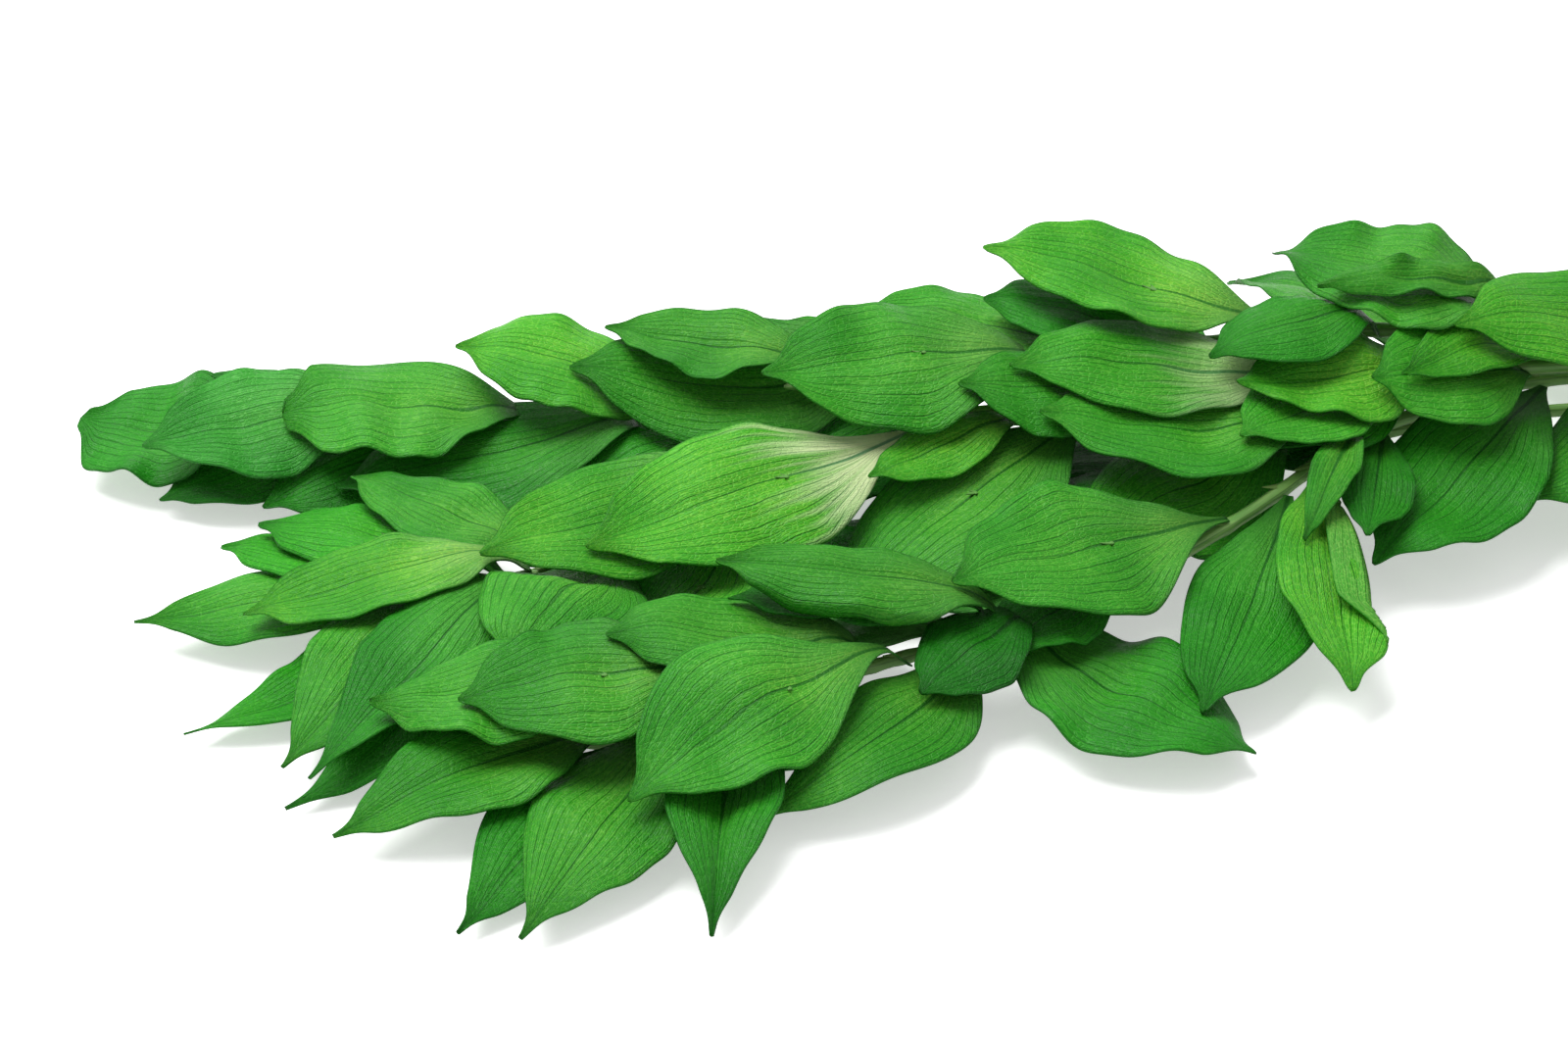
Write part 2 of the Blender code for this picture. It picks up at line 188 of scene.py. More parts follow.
# %% [markdown]
# ## Leaf colour
# Each leaf mesh stores three things for the material. "blade" is the place on the leaf: its
# share along, its share across from -1 to 1, and a number of its own. "flat" is the same place
# in metres, so that fine texture keeps its real size. "tone" is the leaf's green, with the
# share of cream at its base as its alpha. The deep and dark greens are partly dye, partly painted
# shade.
#
# A ruscus leaf has many veins that leave the midrib near its base, arch outwards and meet again
# at the tip. Lines of constant share across do the same, because they narrow with the leaf. A
# second set between them is finer, and a net of tiny cells fills the rest.

# %% The veins
MAIN_VEINS = 7.5
FINE_VEINS = 26.0
MAIN_WANDER = 0.025
FINE_WANDER = 0.06
NET_CELLS = (620.0, 1050.0, 1.0)


def parts_of(tree, vector):
    node = tree.nodes.new("ShaderNodeSeparateXYZ")
    tree.links.new(vector, node.inputs[0])
    return node.outputs


def unevenly(tree, value, wander, amount):
    """The value pushed to either side by a noise, so that no line runs quite straight."""
    push = times(tree, calc(tree, "SUBTRACT", wander, 0.5), amount)
    return calc(tree, "ADD", value, push)


def leaf_pattern(tree):
    """Masks for the veins, the fine veins, the net, the midrib and the painted shade along the
    margin.
    """
    flat = stored(tree, "flat")
    along, across, _ = parts_of(tree, stored(tree, "blade"))
    draw_in = ease(tree, along, 0.0, 0.5, 0.55, 1.0)
    share = calc(tree, "DIVIDE", across, draw_in)
    slow = noise(tree, flat, 45.0, 1.0)
    quick = noise(tree, flat, 240.0, 1.0)
    share = unevenly(tree, share, slow, 0.20)
    strong = noise(tree, stretched(tree, flat, (50.0, 260.0, 1.0)), 1.0, 1.0)
    strong = ease(tree, strong, 0.3, 0.6, 0.35, 1.0)
    veins = times(tree, unevenly(tree, share, quick, MAIN_WANDER), MAIN_VEINS)
    veins = times(tree, lines(tree, veins, 0.1), strong)
    fine = times(tree, unevenly(tree, share, quick, FINE_WANDER), FINE_VEINS)
    fine = lines(tree, fine, 0.24)
    net = tree.nodes.new("ShaderNodeTexVoronoi")
    net.feature = "DISTANCE_TO_EDGE"
    net.inputs["Scale"].default_value = 1.0
    tree.links.new(stretched(tree, flat, NET_CELLS), net.inputs["Vector"])
    net = ease(tree, net.outputs["Distance"], 0.0, 0.16, 1.0, 0.0)
    side = calc(tree, "ABSOLUTE", parts_of(tree, flat)[1])
    rib_width = ease(tree, along, 0.05, 0.6, 0.0009, 0.00034)
    rib = ease(tree, calc(tree, "DIVIDE", side, rib_width), 0.35, 1.0, 1.0, 0.0)
    rib = times(tree, rib, ease(tree, along, 0.42, 0.95, 1.0, 0.45))
    # The margin mask is painted shade: a thin dark line along the leaf's edge.
    margin = ease(tree, calc(tree, "ABSOLUTE", across), 0.965, 1.0)
    return along, across, veins, fine, net, rib, margin


print("veins on each half of a leaf:", MAIN_VEINS, " finer ones:", FINE_VEINS)

# %% [markdown]
# The green is not even either. Along the lower midrib it is yellower, and long pale streaks lie
# between the veins. Patches of deeper green are partly uneven dye and partly painted shade for
# the soft undulations of the blade. Where a leaf kept little dye, its base is cream, and the
# cream runs out along the veins.

# %% The leaf's two faces
CREAM = (0.82, 0.88, 0.52, 1)
UNDERSIDE = (0.17, 0.46, 0.09, 1)
YELLOWER = (2.3, 1.16, 1.5, 1)
DEEPER_DYE_AND_SHADE = (0.4, 0.72, 0.4, 1)
PALE_STREAK = (1.8, 1.2, 1.8, 1)
PALE_GRAIN = (2.2, 1.4, 2.2, 1)
PALE_NET = (2.6, 1.4, 2.6, 1)
VEIN_DYE_AND_EDGE_SHADE = (0.12, 0.36, 0.25, 1)
LIGHT_THROUGH = (1.1, 1.4, 0.4, 1)
BUMP_DEPTH = 0.00022
SHINE = 0.2


def cream_share(tree, along):
    """How much cream shows: all of it at the stalk, fading along the veins in streaks."""
    streaks = noise(tree, stretched(tree, stored(tree, "blade"), (2.0, 9.0, 9.0)), 1.0, 2.0)
    reach = calc(tree, "ADD", 0.12, times(tree, streaks, 0.46))
    fade = ease(tree, calc(tree, "DIVIDE", along, reach), 0.3, 1.45, 1.0, 0.0)
    return times(tree, fade, stored(tree, "tone", "Alpha"))


def dyed(tree, color, dye):
    """The color with its red, green and blue multiplied by the dye."""
    return blend(tree, 1.0, color, dye, "MULTIPLY")


def leaf_green(tree, along, across):
    """The leaf's green with its slow changes over the blade, patches of painted shade among them.
    """
    flat = stored(tree, "flat")
    green = stored(tree, "tone", "Color")
    inner = calc(tree, "SUBTRACT", 1.0, calc(tree, "ABSOLUTE", across))
    inner = times(tree, inner, ease(tree, along, 0.1, 0.9, 0.75, 0.0))
    green = blend(tree, inner, green, dyed(tree, green, YELLOWER))
    # Deeper patches: partly uneven dye, partly painted shade for the soft undulations of the blade.
    dye_and_shade_patches = ease(tree, noise(tree, flat, 30.0, 1.0), 0.4, 0.66, 0.0, 0.85)
    green = blend(tree, dye_and_shade_patches, green, dyed(tree, green, DEEPER_DYE_AND_SHADE))
    streaks = noise(tree, stretched(tree, stored(tree, "blade"), (3.0, 26.0, 9.0)), 1.0, 1.0)
    streaks = ease(tree, streaks, 0.45, 0.75, 0.0, 0.5)
    return blend(tree, streaks, green, dyed(tree, green, PALE_STREAK))


def leaf_material(name, lift, vein_dark, roughness, see_through):
    """One face of the leaf. lift pales its green, vein_dark is how dark the veins are."""
    material, tree, shader = new_material(name)
    along, across, veins, fine, net, rib, margin = leaf_pattern(tree)
    flat = stored(tree, "flat")
    green = leaf_green(tree, along, across)
    green = blend(tree, lift, green, UNDERSIDE)
    grain = noise(tree, flat, 950.0, 1.0)
    specks = ease(tree, grain, 0.5, 0.8, 0.0, 0.3)
    green = blend(tree, specks, green, dyed(tree, green, PALE_GRAIN))
    green = blend(tree, times(tree, net, 0.6), green, dyed(tree, green, PALE_NET))
    green = blend(tree, cream_share(tree, along), green, CREAM)
    # The veins and the midrib are darker in their own colour; the line along the margin is painted
    # shade.
    marks = times(tree, fine, 0.3 * vein_dark)
    for line, strength in ((veins, vein_dark), (rib, 0.9), (margin, 0.6)):
        marks = calc(tree, "MAXIMUM", marks, times(tree, line, strength))
    green = blend(tree, marks, green, dyed(tree, green, VEIN_DYE_AND_EDGE_SHADE))
    gloss = ease(tree, grain, 0.3, 0.7, roughness - 0.06, roughness + 0.08)
    shader.inputs["Specular IOR Level"].default_value = SHINE
    height = times(tree, net, -0.5)
    for line, depth in ((veins, 0.9), (fine, 0.35)):
        height = calc(tree, "SUBTRACT", height, times(tree, line, depth))
    height = calc(tree, "ADD", height, times(tree, noise(tree, flat, 380.0, 2.0), 0.6))
    finish(tree, shader, green, gloss, height, BUMP_DEPTH, 0.9)
    through = tree.nodes.new("ShaderNodeBsdfTranslucent")
    tree.links.new(dyed(tree, green, LIGHT_THROUGH), through.inputs["Color"])
    both = tree.nodes.new("ShaderNodeMixShader")
    both.inputs[0].default_value = see_through
    tree.links.new(shader.outputs[0], both.inputs[1])
    tree.links.new(through.outputs[0], both.inputs[2])
    tree.links.new(both.outputs[0], tree.nodes["Material Output"].inputs["Surface"])
    print(name, "nodes:", len(tree.nodes))
    return material


leaf_top = leaf_material("leaf_top", 0.0, 0.8, 0.42, 0.2)
leaf_under = leaf_material("leaf_under", 0.25, 0.65, 0.55, 0.2)

# %% [markdown]
# ## Stems
# The stems come first, because every leaf is placed by its distance from a stem's tip. Each
# route is a handful of points from the cut end to the tip, in millimetres from the place where
# the sprays part, and a smooth curve is drawn through them.

# %% Stem routes
STEM_ROUTES = {
    "front": [
        (418, 14, 3), (392, 22, 3), (370, 25, 4), (330, 27, 8), (270, 30, 18), (225, 29, 25),
        (197, 26, 26), (178, 22, 25), (153, 9, 24), (138, 2, 22), (121, -15, 19), (99, -34, 16),
        (75, -53, 14), (55, -64, 13), (26, -76, 12), (0, -86, 10), (-24, -94, 8), (-44, -101, 6),
    ],
    "middle": [
        (424, 24, 6.5), (370, 27.4, 8), (330, 28, 14), (270, 25, 26), (225, 22, 32),
        (195, 20, 33), (158, 17, 32), (122, 15, 30), (90, 11, 28), (58, 7, 26), (34, 2, 24),
        (0, -14, 18), (-34, -31, 13), (-60, -41, 11), (-74, -45, 10), (-89, -47, 8),
    ],
    "back": [
        (412, 48, 2.5), (370, 34.4, 4), (330, 38, 7), (270, 44, 15), (200, 42, 22), (150, 38, 20),
        (100, 32, 18), (26, 24, 15), (-35, 24, 14), (-66, 25, 14), (-99, 25, 12), (-125, 25, 9),
        (-144, 24, 7),
    ],
    "upper": [
        (408, 36, 6.5), (370, 32, 8), (330, 35, 15), (270, 32, 30), (225, 31, 36), (194, 31, 38),
        (157, 31, 37), (131, 31, 36), (97, 28, 34), (63, 22, 32), (24, 19, 30), (0, 18, 28),
    ],
    "low": [
        (415, 32, 2.5), (370, 29.7, 4), (330, 31, 5), (270, 36, 8), (225, 36, 11), (190, 32, 12),
        (150, 22, 12), (115, 8, 12), (85, -4, 12), (60, -14, 10),
    ],
}
CUT_END_RADIUS = 0.0022
STEM_TIP_RADIUS = 0.0013
ROUTE_STEP = 0.014
CURVE_STEPS = 24
TO_ROW = np.array(PARTING)


def smooth_route(points, spacing):
    """Points at an even spacing along the smooth curve that passes through the given ones."""
    points = np.array(points, float)
    padded = np.vstack([2 * points[0] - points[1], points, 2 * points[-1] - points[-2]])
    share = np.linspace(0, 1, CURVE_STEPS, endpoint=False)[:, None]
    pieces = []
    for before, start, end, after in zip(padded, padded[1:], padded[2:], padded[3:]):
        bend = 2 * before - 5 * start + 4 * end - after
        turn = 3 * start - before - 3 * end + after
        pieces.append(start + 0.5 * ((end - before) * share + bend * share**2 + turn * share**3))
    dense = np.vstack(pieces + [points[-1:]])
    steps = np.linalg.norm(np.diff(dense, axis=0), axis=1)
    walked = np.concatenate([[0], np.cumsum(steps)])
    stops = np.linspace(0, walked[-1], round(walked[-1] / spacing) + 1)
    return np.column_stack([np.interp(stops, walked, dense[:, axis]) for axis in range(3)])


stems = {}
for name, points in STEM_ROUTES.items():
    route = smooth_route(np.array(points) * MM, ROUTE_STEP)
    stems[name] = (route, np.linspace(CUT_END_RADIUS, STEM_TIP_RADIUS, len(route)))
    length = np.linalg.norm(np.diff(route, axis=0), axis=1).sum()
    print(name, "stem, mm long:", round(length / MM))


def at_distance_from_tip(route, radii, distance):
    """The point, the growth direction in degrees and the radius at this distance from the tip."""
    steps = np.linalg.norm(np.diff(route, axis=0), axis=1)
    left = np.concatenate([np.cumsum(steps[::-1])[::-1], [0]])
    order = slice(None, None, -1)
    point = np.array([np.interp(distance, left[order], route[order, axis]) for axis in range(3)])
    radius = np.interp(distance, left[order], radii[order])
    nearest = min(int(np.searchsorted(-left, -distance)), len(route) - 1)
    growth = route[nearest] - route[nearest - 1]
    return point, math.degrees(math.atan2(growth[1], growth[0])), radius

# %% [markdown]
# ## The leaves of the bunch
# One row for each leaf, in the order in which they are laid: its stem, the distance of its base
# from the stem's tip, its turn from the stem's growth, its length and width, its slope at the
# stalk and at the tip, its roll, its sweep and its fold. Then come its look: the name of its
# green, the share of cream at its base, the height of its wavy margin in millimetres, how far
# its tip curls down and how far the blade twists.
#
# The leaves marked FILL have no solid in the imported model. They are the hidden ones that make a
# real bunch dense. The undergrowth is laid before all others and has no solids either. Its rows
# are shorter, because those leaves lie flat and unseen: no sweep, a slight fold, low waves.

# %% Leaf table
SOLID = True
FILL = False
# The deep and dark greens are partly the leaves' own dye and partly painted shade: deep goes to
# leaves that lie in the shade of others, dark to the hidden leaves in the gaps.
GREENS = {
    "mid": (0.031, 0.292, 0.011),
    "vivid": (0.022, 0.320, 0.006),
    "light": (0.054, 0.372, 0.013),
    "cool": (0.026, 0.290, 0.018),
    "deep": (0.014, 0.230, 0.006),
    "dark": (0.006, 0.150, 0.003),
}
UNDERGROWTH = [
    ("front", 132, 4, 40, 24, -12, -2, 0, "deep", 0),
    ("front", 58, 22, 40, 26, -12, -2, 0, "deep", 0),
    ("front", 40, -16, 46, 32, -12, -2, 0, "deep", 0),
    ("back", 186, 24, 60, 34, -8, -4, 0, "deep", 0),
    ("front", 128, -68, 80, 36, -10, -2, 0, "deep", 0.1),
    ("front", 92, -22, 66, 34, -10, -6, 0, "deep", 0.1),
    ("front", 62, -24, 70, 40, -10, -6, 0, "deep", 0.1),
    ("back", 150, 24, 70, 36, -4, -4, 4, "deep", 0.1),
    ("low", 62, -14, 64, 36, 4, -2, 4, "dark", 0),
    ("low", 100, -8, 62, 36, 6, 0, 4, "dark", 0),
    ("low", 30, 24, 62, 32, -2, -4, 4, "dark", 0),
]
undergrowth = [(*row[:8], 0, 4, FILL, *row[8:], 1, 2, 4) for row in UNDERGROWTH]
LEAVES = [
    # Lying on the table, or close to it.
    ("back", 385, -33, 74, 35, 7, -16, -4, 8, 7, SOLID, "mid", 0.03, 1, 10, 6),
    ("back", 322, -40, 76, 34, 8, -14, -12, -14, 12, SOLID, "mid", 0.03, 2, 10, -16),
    ("back", 258, -58, 82, 37, 2, -12, -4, 16, 10, SOLID, "deep", 0.02, 1.6, 4, 14),
    ("back", 216, -24, 62, 30, 16, -8, -16, 18, 8, FILL, "light", 0.05, 2.2, -6, 20),
    ("back", 172, -50, 54, 27, 18, -12, 4, -18, 14, FILL, "mid", 0.03, 1.8, 12, -12),
    ("low", 245, 34, 72, 36, 0, -4, 6, 5, 6, SOLID, "mid", 0.03, 1, 4, 0),
    ("back", 34, 26, 50, 26, -4, -8, 4, 0, 4, FILL, "deep", 0, 0.8, 2, 0),
    ("back", 66, 30, 58, 28, -6, -8, 6, 0, 4, FILL, "deep", 0, 0.8, 2, 4),
    ("back", 112, 19, 82, 38, -2, -6, 8, 0, 4, SOLID, "deep", 0.03, 1, 4, -6),
    ("middle", 35, 58, 82, 20, -4, -4, 2, 0, 8, FILL, "deep", 0, 1, 2, 8),
    ("middle", 37, 54, 98, 32, -6, -4, 2, -38, 8, SOLID, "deep", 0, 1.2, 2, 10),
    ("middle", 8, 56, 72, 24, -4, -4, 4, -46, 8, SOLID, "vivid", 0.03, 1.2, 4, -8),
    ("front", 11, 42, 71, 29, -2, -2, 0, 0, 6, SOLID, "deep", 0.03, 1.2, 2, 8),
    ("front", 22, 50, 76, 35, 0, -4, 0, -6, 4, SOLID, "mid", 0.05, 1.4, 2, -6),
    ("front", 34, 69, 72, 27, -2, -4, 0, 0, 30, SOLID, "deep", 0.03, 0.8, 4, 4),
    ("front", 91, 46, 76, 28, -2, -6, 0, -38, 4, SOLID, "mid", 0.03, 1.2, 4, 6),
    ("front", 106, 22, 38, 24, -12, -4, 0, 0, 4, FILL, "dark", 0, 0.8, 2, 0),
    ("front", 106, 104, 62, 44, -6, -7, 4, 28, 4, SOLID, "deep", 0.03, 1.8, 4, 6),
    ("front", 187, 29, 82, 32, -8, -12, -4, -6, 4, SOLID, "deep", 0.03, 1.2, 4, -8),
    ("front", 198, 42, 78, 31, -4, -8, 4, 0, 10, SOLID, "light", 0.03, 1, 4, 10),
    ("front", 222, 46, 44, 18, -8, -10, 0, 0, 6, FILL, "deep", 0, 0.8, 2, 0),
    ("low", 70, 16, 70, 38, 0, -2, 8, 0, 4, FILL, "mid", 0, 1.2, 2, 0),
    ("low", 108, 6, 64, 42, 4, 2, 4, 0, 4, FILL, "vivid", 0, 1, 2, 0),
    ("front", 270, 44, 80, 38, -6, -12, 4, -6, 4, SOLID, "deep", 0.03, 1.6, 6, 6),
    ("front", 322, 32, 74, 36, -2, -8, 6, 0, 6, SOLID, "mid", 0.07, 1.4, 6, -4),
    # The back spray, from its tip.
    ("back", 16, 3, 52, 42, 0, -2, 8, -22, 4, SOLID, "deep", 0.02, 1.8, -14, 12),
    ("back", 46, -16, 50, 28, 10, 0, 4, 4, 4, SOLID, "cool", 0.02, 1.2, 4, -8),
    ("back", 44, 18, 62, 36, 22, -8, 16, -4, 8, SOLID, "cool", 0.03, 1.6, 8, 8),
    ("back", 80, 14, 62, 42, 15, -6, 6, -2, 8, SOLID, "mid", 0.03, 2.2, 6, 10),
    ("back", 118, -12, 60, 37, 29, 2, 10, 8, 6, SOLID, "light", 0.03, 1.4, 8, -8),
    ("back", 170, -2, 80, 40, 14, 0, 26, -4, 4, SOLID, "mid", 0.05, 1, 4, 4),
    # The upper stem.
    ("upper", 10, -18, 57, 26, 3, 10, 2, 4, 12, SOLID, "mid", 0.02, 1, 4, 8),
    ("upper", 78, -22, 60, 30, 8, 4, 8, 0, 6, FILL, "mid", 0.03, 1, 4, 0),
    ("upper", 64, 12, 73, 41, 12, 2, 20, -4, 4, SOLID, "mid", 0.07, 1.6, 4, 6),
    ("upper", 104, -12, 54, 34, 13, 4, 12, 0, 6, SOLID, "deep", 0.03, 1.2, 4, -6),
    # The middle spray, from its tip.
    ("middle", 3, 0, 66, 30, 0, -4, 4, 0, 6, SOLID, "mid", 0.03, 1.2, 4, 6),
    ("middle", 13, 58, 72, 34, 1, -4, 2, -6, 6, SOLID, "mid", 0.03, 1.2, 4, 8),
    ("middle", 16, -29, 63, 28, 1, -4, 2, 0, 6, FILL, "vivid", 0.02, 1, 2, -4),
    ("middle", 24, -30, 62, 30, 3, -4, 4, 0, 4, SOLID, "vivid", 0.03, 1.4, 4, -6),
    ("middle", 27, 55, 84, 32, -1, -4, 0, -18, 6, SOLID, "deep", 0.03, 1.2, 4, 4),
    ("middle", 30, 4, 68, 28, -2, -2, 0, -12, 4, SOLID, "light", 0.15, 1.2, 6, 6),
    ("middle", 36, -46, 57, 27, 5, 0, 4, -4, 4, SOLID, "mid", 0.03, 1.2, 2, 6),
    ("middle", 52, 46, 60, 38, 0, -4, -4, 0, 4, SOLID, "mid", 0.03, 1, 4, 4),
    ("middle", 92, 34, 78, 38, -2, -6, 0, 0, 4, SOLID, "mid", 0.05, 2.4, 4, -8),
    ("middle", 96, 2, 80, 38, 6, 1, 14, 0, 4, SOLID, "light", 0.12, 1.4, 4, 6),
    ("middle", 135, 14, 96, 43, -8, 0, 20, -5, 4, SOLID, "light", 1, 1.6, 6, 8),
    ("middle", 158, 24, 44, 18, -1, -4, 10, 0, 4, FILL, "light", 0.03, 0.8, 2, 0),
    ("middle", 174, 35, 87, 42, -13, -15, 6, 2, 4, SOLID, "mid", 0.03, 1, 4, 6),
    ("middle", 192, 12, 50, 30, 9, 4, 12, -14, 4, SOLID, "mid", 0.03, 1, 4, 4),
    ("middle", 224, 3, 68, 31, 3, 0, 8, 0, 4, SOLID, "mid", 0.4, 1.2, 4, 6),
    ("upper", 126, -11, 78, 38, 20, 6, 8, -4, 4, SOLID, "light", 0.1, 1.6, 8, 6),
    # The front spray, from its tip.
    ("front", 3, 12, 64, 31, 2, -4, 8, 0, 6, SOLID, "mid", 0.03, 1.4, 4, -6),
    ("front", 7, -14, 38, 18, 0, 0, 2, 0, 6, FILL, "deep", 0.02, 0.8, 2, 4),
    ("front", 14, -13, 60, 30, 0, -2, 4, 2, 4, SOLID, "mid", 0.03, 1.4, -16, 14),
    ("front", 31, -2, 58, 37, 2, 0, 12, 0, 4, SOLID, "mid", 0.07, 1.4, 6, 8),
    ("front", 68, -12, 60, 37, 5, -2, 6, 0, 4, SOLID, "mid", 0.05, 1.2, 4, 4),
    ("front", 76, 17, 82, 37, 5, -6, 9, 6, 4, SOLID, "mid", 0.05, 1.6, 6, 6),
    ("front", 100, -17, 62, 24, -8, -10, 0, -8, 4, FILL, "deep", 0.02, 1, 2, 0),
    ("front", 102, -13, 68, 27, 9, 6, 16, -24, 6, SOLID, "mid", 0.03, 1, -10, 8),
    ("front", 168, -10, 79, 42, 12, 0, 16, 0, 4, SOLID, "mid", 0.05, 1.6, 6, 8),
    # The top of the pile, at the right.
    ("front", 213, 36, 46, 11, 4, -4, 0, 0, 10, SOLID, "mid", 0.02, 0.8, 4, 10),
    ("front", 210, -17, 74, 41, 13, 0, 2, -12, 4, SOLID, "mid", 0.03, 1.6, 6, 6),
    ("middle", 286, 18, 44, 34, 14, 4, 24, -12, 6, SOLID, "mid", 0.03, 1, 6, 4),
    ("middle", 266, 12, 56, 30, 4, 2, 12, -4, 16, SOLID, "light", 0.03, 1.8, -6, 8),
    ("middle", 250, 30, 46, 30, -6, -2, 8, 0, 6, FILL, "mid", 0, 0.6, 2, 0),
    ("upper", 150, 22, 48, 26, -2, 0, 8, 0, 4, FILL, "deep", 0, 0.8, 2, 0),
    ("upper", 184, -14, 62, 46, 11, 0, 14, -4, 4, SOLID, "mid", 0.03, 1.8, 8, 6),
    ("upper", 196, 30, 52, 20, -4, -6, 20, 0, 4, FILL, "light", 0.03, 1, 4, 4),
    ("upper", 184, 8, 52, 14, 12, 0, 24, -4, 6, FILL, "mid", 0.03, 2, 4, 10),
    ("upper", 238, 13, 76, 34, 14, 2, 18, 0, 4, SOLID, "light", 0.07, 1.4, 8, 6),
    ("upper", 266, 34, 76, 34, 8, -4, 18, -8, 4, SOLID, "mid", 0.07, 1.4, 8, 4),
    ("middle", 362, 36, 74, 36, 4, -8, 8, -8, 6, SOLID, "mid", 0.07, 1.2, 6, 6),
    ("upper", 288, -22, 72, 35, 10, -6, 6, 0, 6, FILL, "deep", 0.03, 1, 4, 4),
    ("middle", 402, 26, 70, 34, 6, -8, 8, 0, 6, FILL, "mid", 0.03, 1, 4, 4),
]
print("leaves:", len(LEAVES), "of which solid:", sum(row[10] for row in LEAVES))

# %% [markdown]
# Not every leaf has the same outline. Each outline below says where the leaf is widest, and how
# hard it is drawn in at the stalk and at the tip. A few leaves also have one side creased and
# turned over: a fold gives its side (1 is left), the share across where the crease lies, its
# angle, and the shares along between which it runs.

# %% Leaves with a shape of their own
EVEN = (0.50, 1.25, 0.75)
POINTED = (0.43, 1.4, 1.25)
FORWARD = (0.55, 1.7, 0.72)
FULL = (0.46, 0.7, 0.70)
BLUNT = (0.56, 1.0, 0.40)
NO_FOLD = (1, 1.0, 0, 0.0, 1.0)
OWN_SHAPES = {
    "front_leaf_19": (EVEN, (1, 0.8, -70, 0.2, 1.3)),
    "front_leaf_22": ((0.52, 1.35, 0.75), NO_FOLD),
    "front_leaf_17": ((0.57, 2.1, 0.8), NO_FOLD),
    "front_leaf_08": (EVEN, (1, 0.45, 158, 0.0, 0.85)),
}
SAME_OUTLINE = {
    FULL: "front_leaf_06 middle_leaf_18 upper_leaf_07",
    FORWARD: "front_leaf_20 middle_leaf_14 upper_leaf_05",
    BLUNT: "back_leaf_09 back_leaf_12",
    POINTED: (
        "front_leaf_01 front_leaf_02 front_leaf_03 front_leaf_04 front_leaf_12 "
        "front_leaf_21 middle_leaf_01 middle_leaf_02 middle_leaf_03 middle_leaf_04 "
        "middle_leaf_05 middle_leaf_08"
    ),
}
for outline, names in SAME_OUTLINE.items():
    OWN_SHAPES.update((name, (outline, NO_FOLD)) for name in names.split())
print("leaves with a shape of their own:", len(OWN_SHAPES))

# %% [markdown]
# ## The shape of one leaf
# The outline is narrow at the stalk, widest near the middle, and ends in a drawn-out point. A
# grid of points fills it: rows along the leaf and rows across, which keep their even spacing.

# %% Outline and fold
LEAF_THICKNESS = 0.0006
VISIBLE_THICKNESS = 0.00042
STALK_HALF_WIDTH = 0.0011
TIP_HALF_WIDTH = 0.0004
ROWS_ALONG = 72
ROWS_ACROSS = 30


def sheet_grid(count_along, count_across):
    """Shares along and across for a grid of points, and its faces."""
    along, across = np.meshgrid(
        np.linspace(0, 1, count_along + 1), np.linspace(-1, 1, count_across + 1), indexing="ij"
    )
    first = np.arange(count_along)[:, None] * (count_across + 1) + np.arange(count_across)
    first = first.ravel()
    step = count_across + 1
    faces = np.column_stack([first, first + step, first + step + 1, first + 1])
    return along.ravel(), across.ravel(), faces


def gently(value, start, end):
    """Goes smoothly from 0 at start to 1 at end."""
    part = np.clip((value - start) / (end - start), 0, 1)
    return part * part * (3 - 2 * part)


def half_width(along, width, outline):
    """Half the leaf's width at this share of its length, tapered at the stalk and at the tip."""
    widest_at, base_taper, tip_taper = outline
    swell = np.sin(math.pi * along ** (math.log(0.5) / math.log(widest_at)))
    taper = base_taper + (tip_taper - base_taper) * along
    least = STALK_HALF_WIDTH + (TIP_HALF_WIDTH - STALK_HALF_WIDTH) * along
    drawn = 1 - 0.5 * gently(along, 0.86, 0.96)
    return least + (0.5 * width - least) * drawn * np.clip(swell, 0, 1) ** taper


def fold_over(across, half, along, fold):
    """The flat place across and the height of each point, with one side folded over."""
    side, start, angle, first, last = fold
    amount = gently(along, first, first + 0.22) * gently(along, last, last - 0.22)
    crease = 1 - (1 - start) * amount
    over = np.clip(across * side - crease, 0, 1) * half
    turn = math.radians(angle)
    return across * half - side * over * (1 - math.cos(turn)), over * math.sin(turn)


widths = half_width(np.linspace(0, 1, 5), 40 * MM, EVEN) * 2 / MM
print("width of a 40 mm leaf from its stalk to its tip, mm:", widths.round(1))

# %% [markdown]
# Now the leaf as it would hang in the air. Its midrib rises, dips, sweeps to one side and curls
# down at the tip. The blade stands across it with its own roll, twist and waves, and a shallow
# groove runs along the midrib.

# %% The leaf in the air
ARCH = 0.10
PILLOW = 0.9
BUCKLE = 0.4
VEIN_RELIEF = 0.00011
GROOVE_DEPTH = 0.00055
GROOVE_HALF_WIDTH = 0.0018
MIDRIB_STEPS = 120
BLADE_STARTS = 0.25


def midrib_line(base, heading, shape, curl):
    """Even points along the midrib from the stalk to the tip, and the leaf's course at each."""
    length, _, rise, dip, _, sweep, _ = shape
    steps = np.linspace(0, 1, MIDRIB_STEPS + 1)
    slope = np.radians(rise + (dip - rise) * steps - curl * np.clip((steps - 0.7) / 0.3, 0, 1) ** 2)
    course = np.radians(heading + sweep * steps)
    run = np.column_stack(
        [np.cos(slope) * np.cos(course), np.cos(slope) * np.sin(course), np.sin(slope)]
    )
    midrib = np.vstack([np.zeros(3), np.cumsum((run[1:] + run[:-1]) / 2, axis=0)])
    return steps, base + midrib * length / MIDRIB_STEPS, course


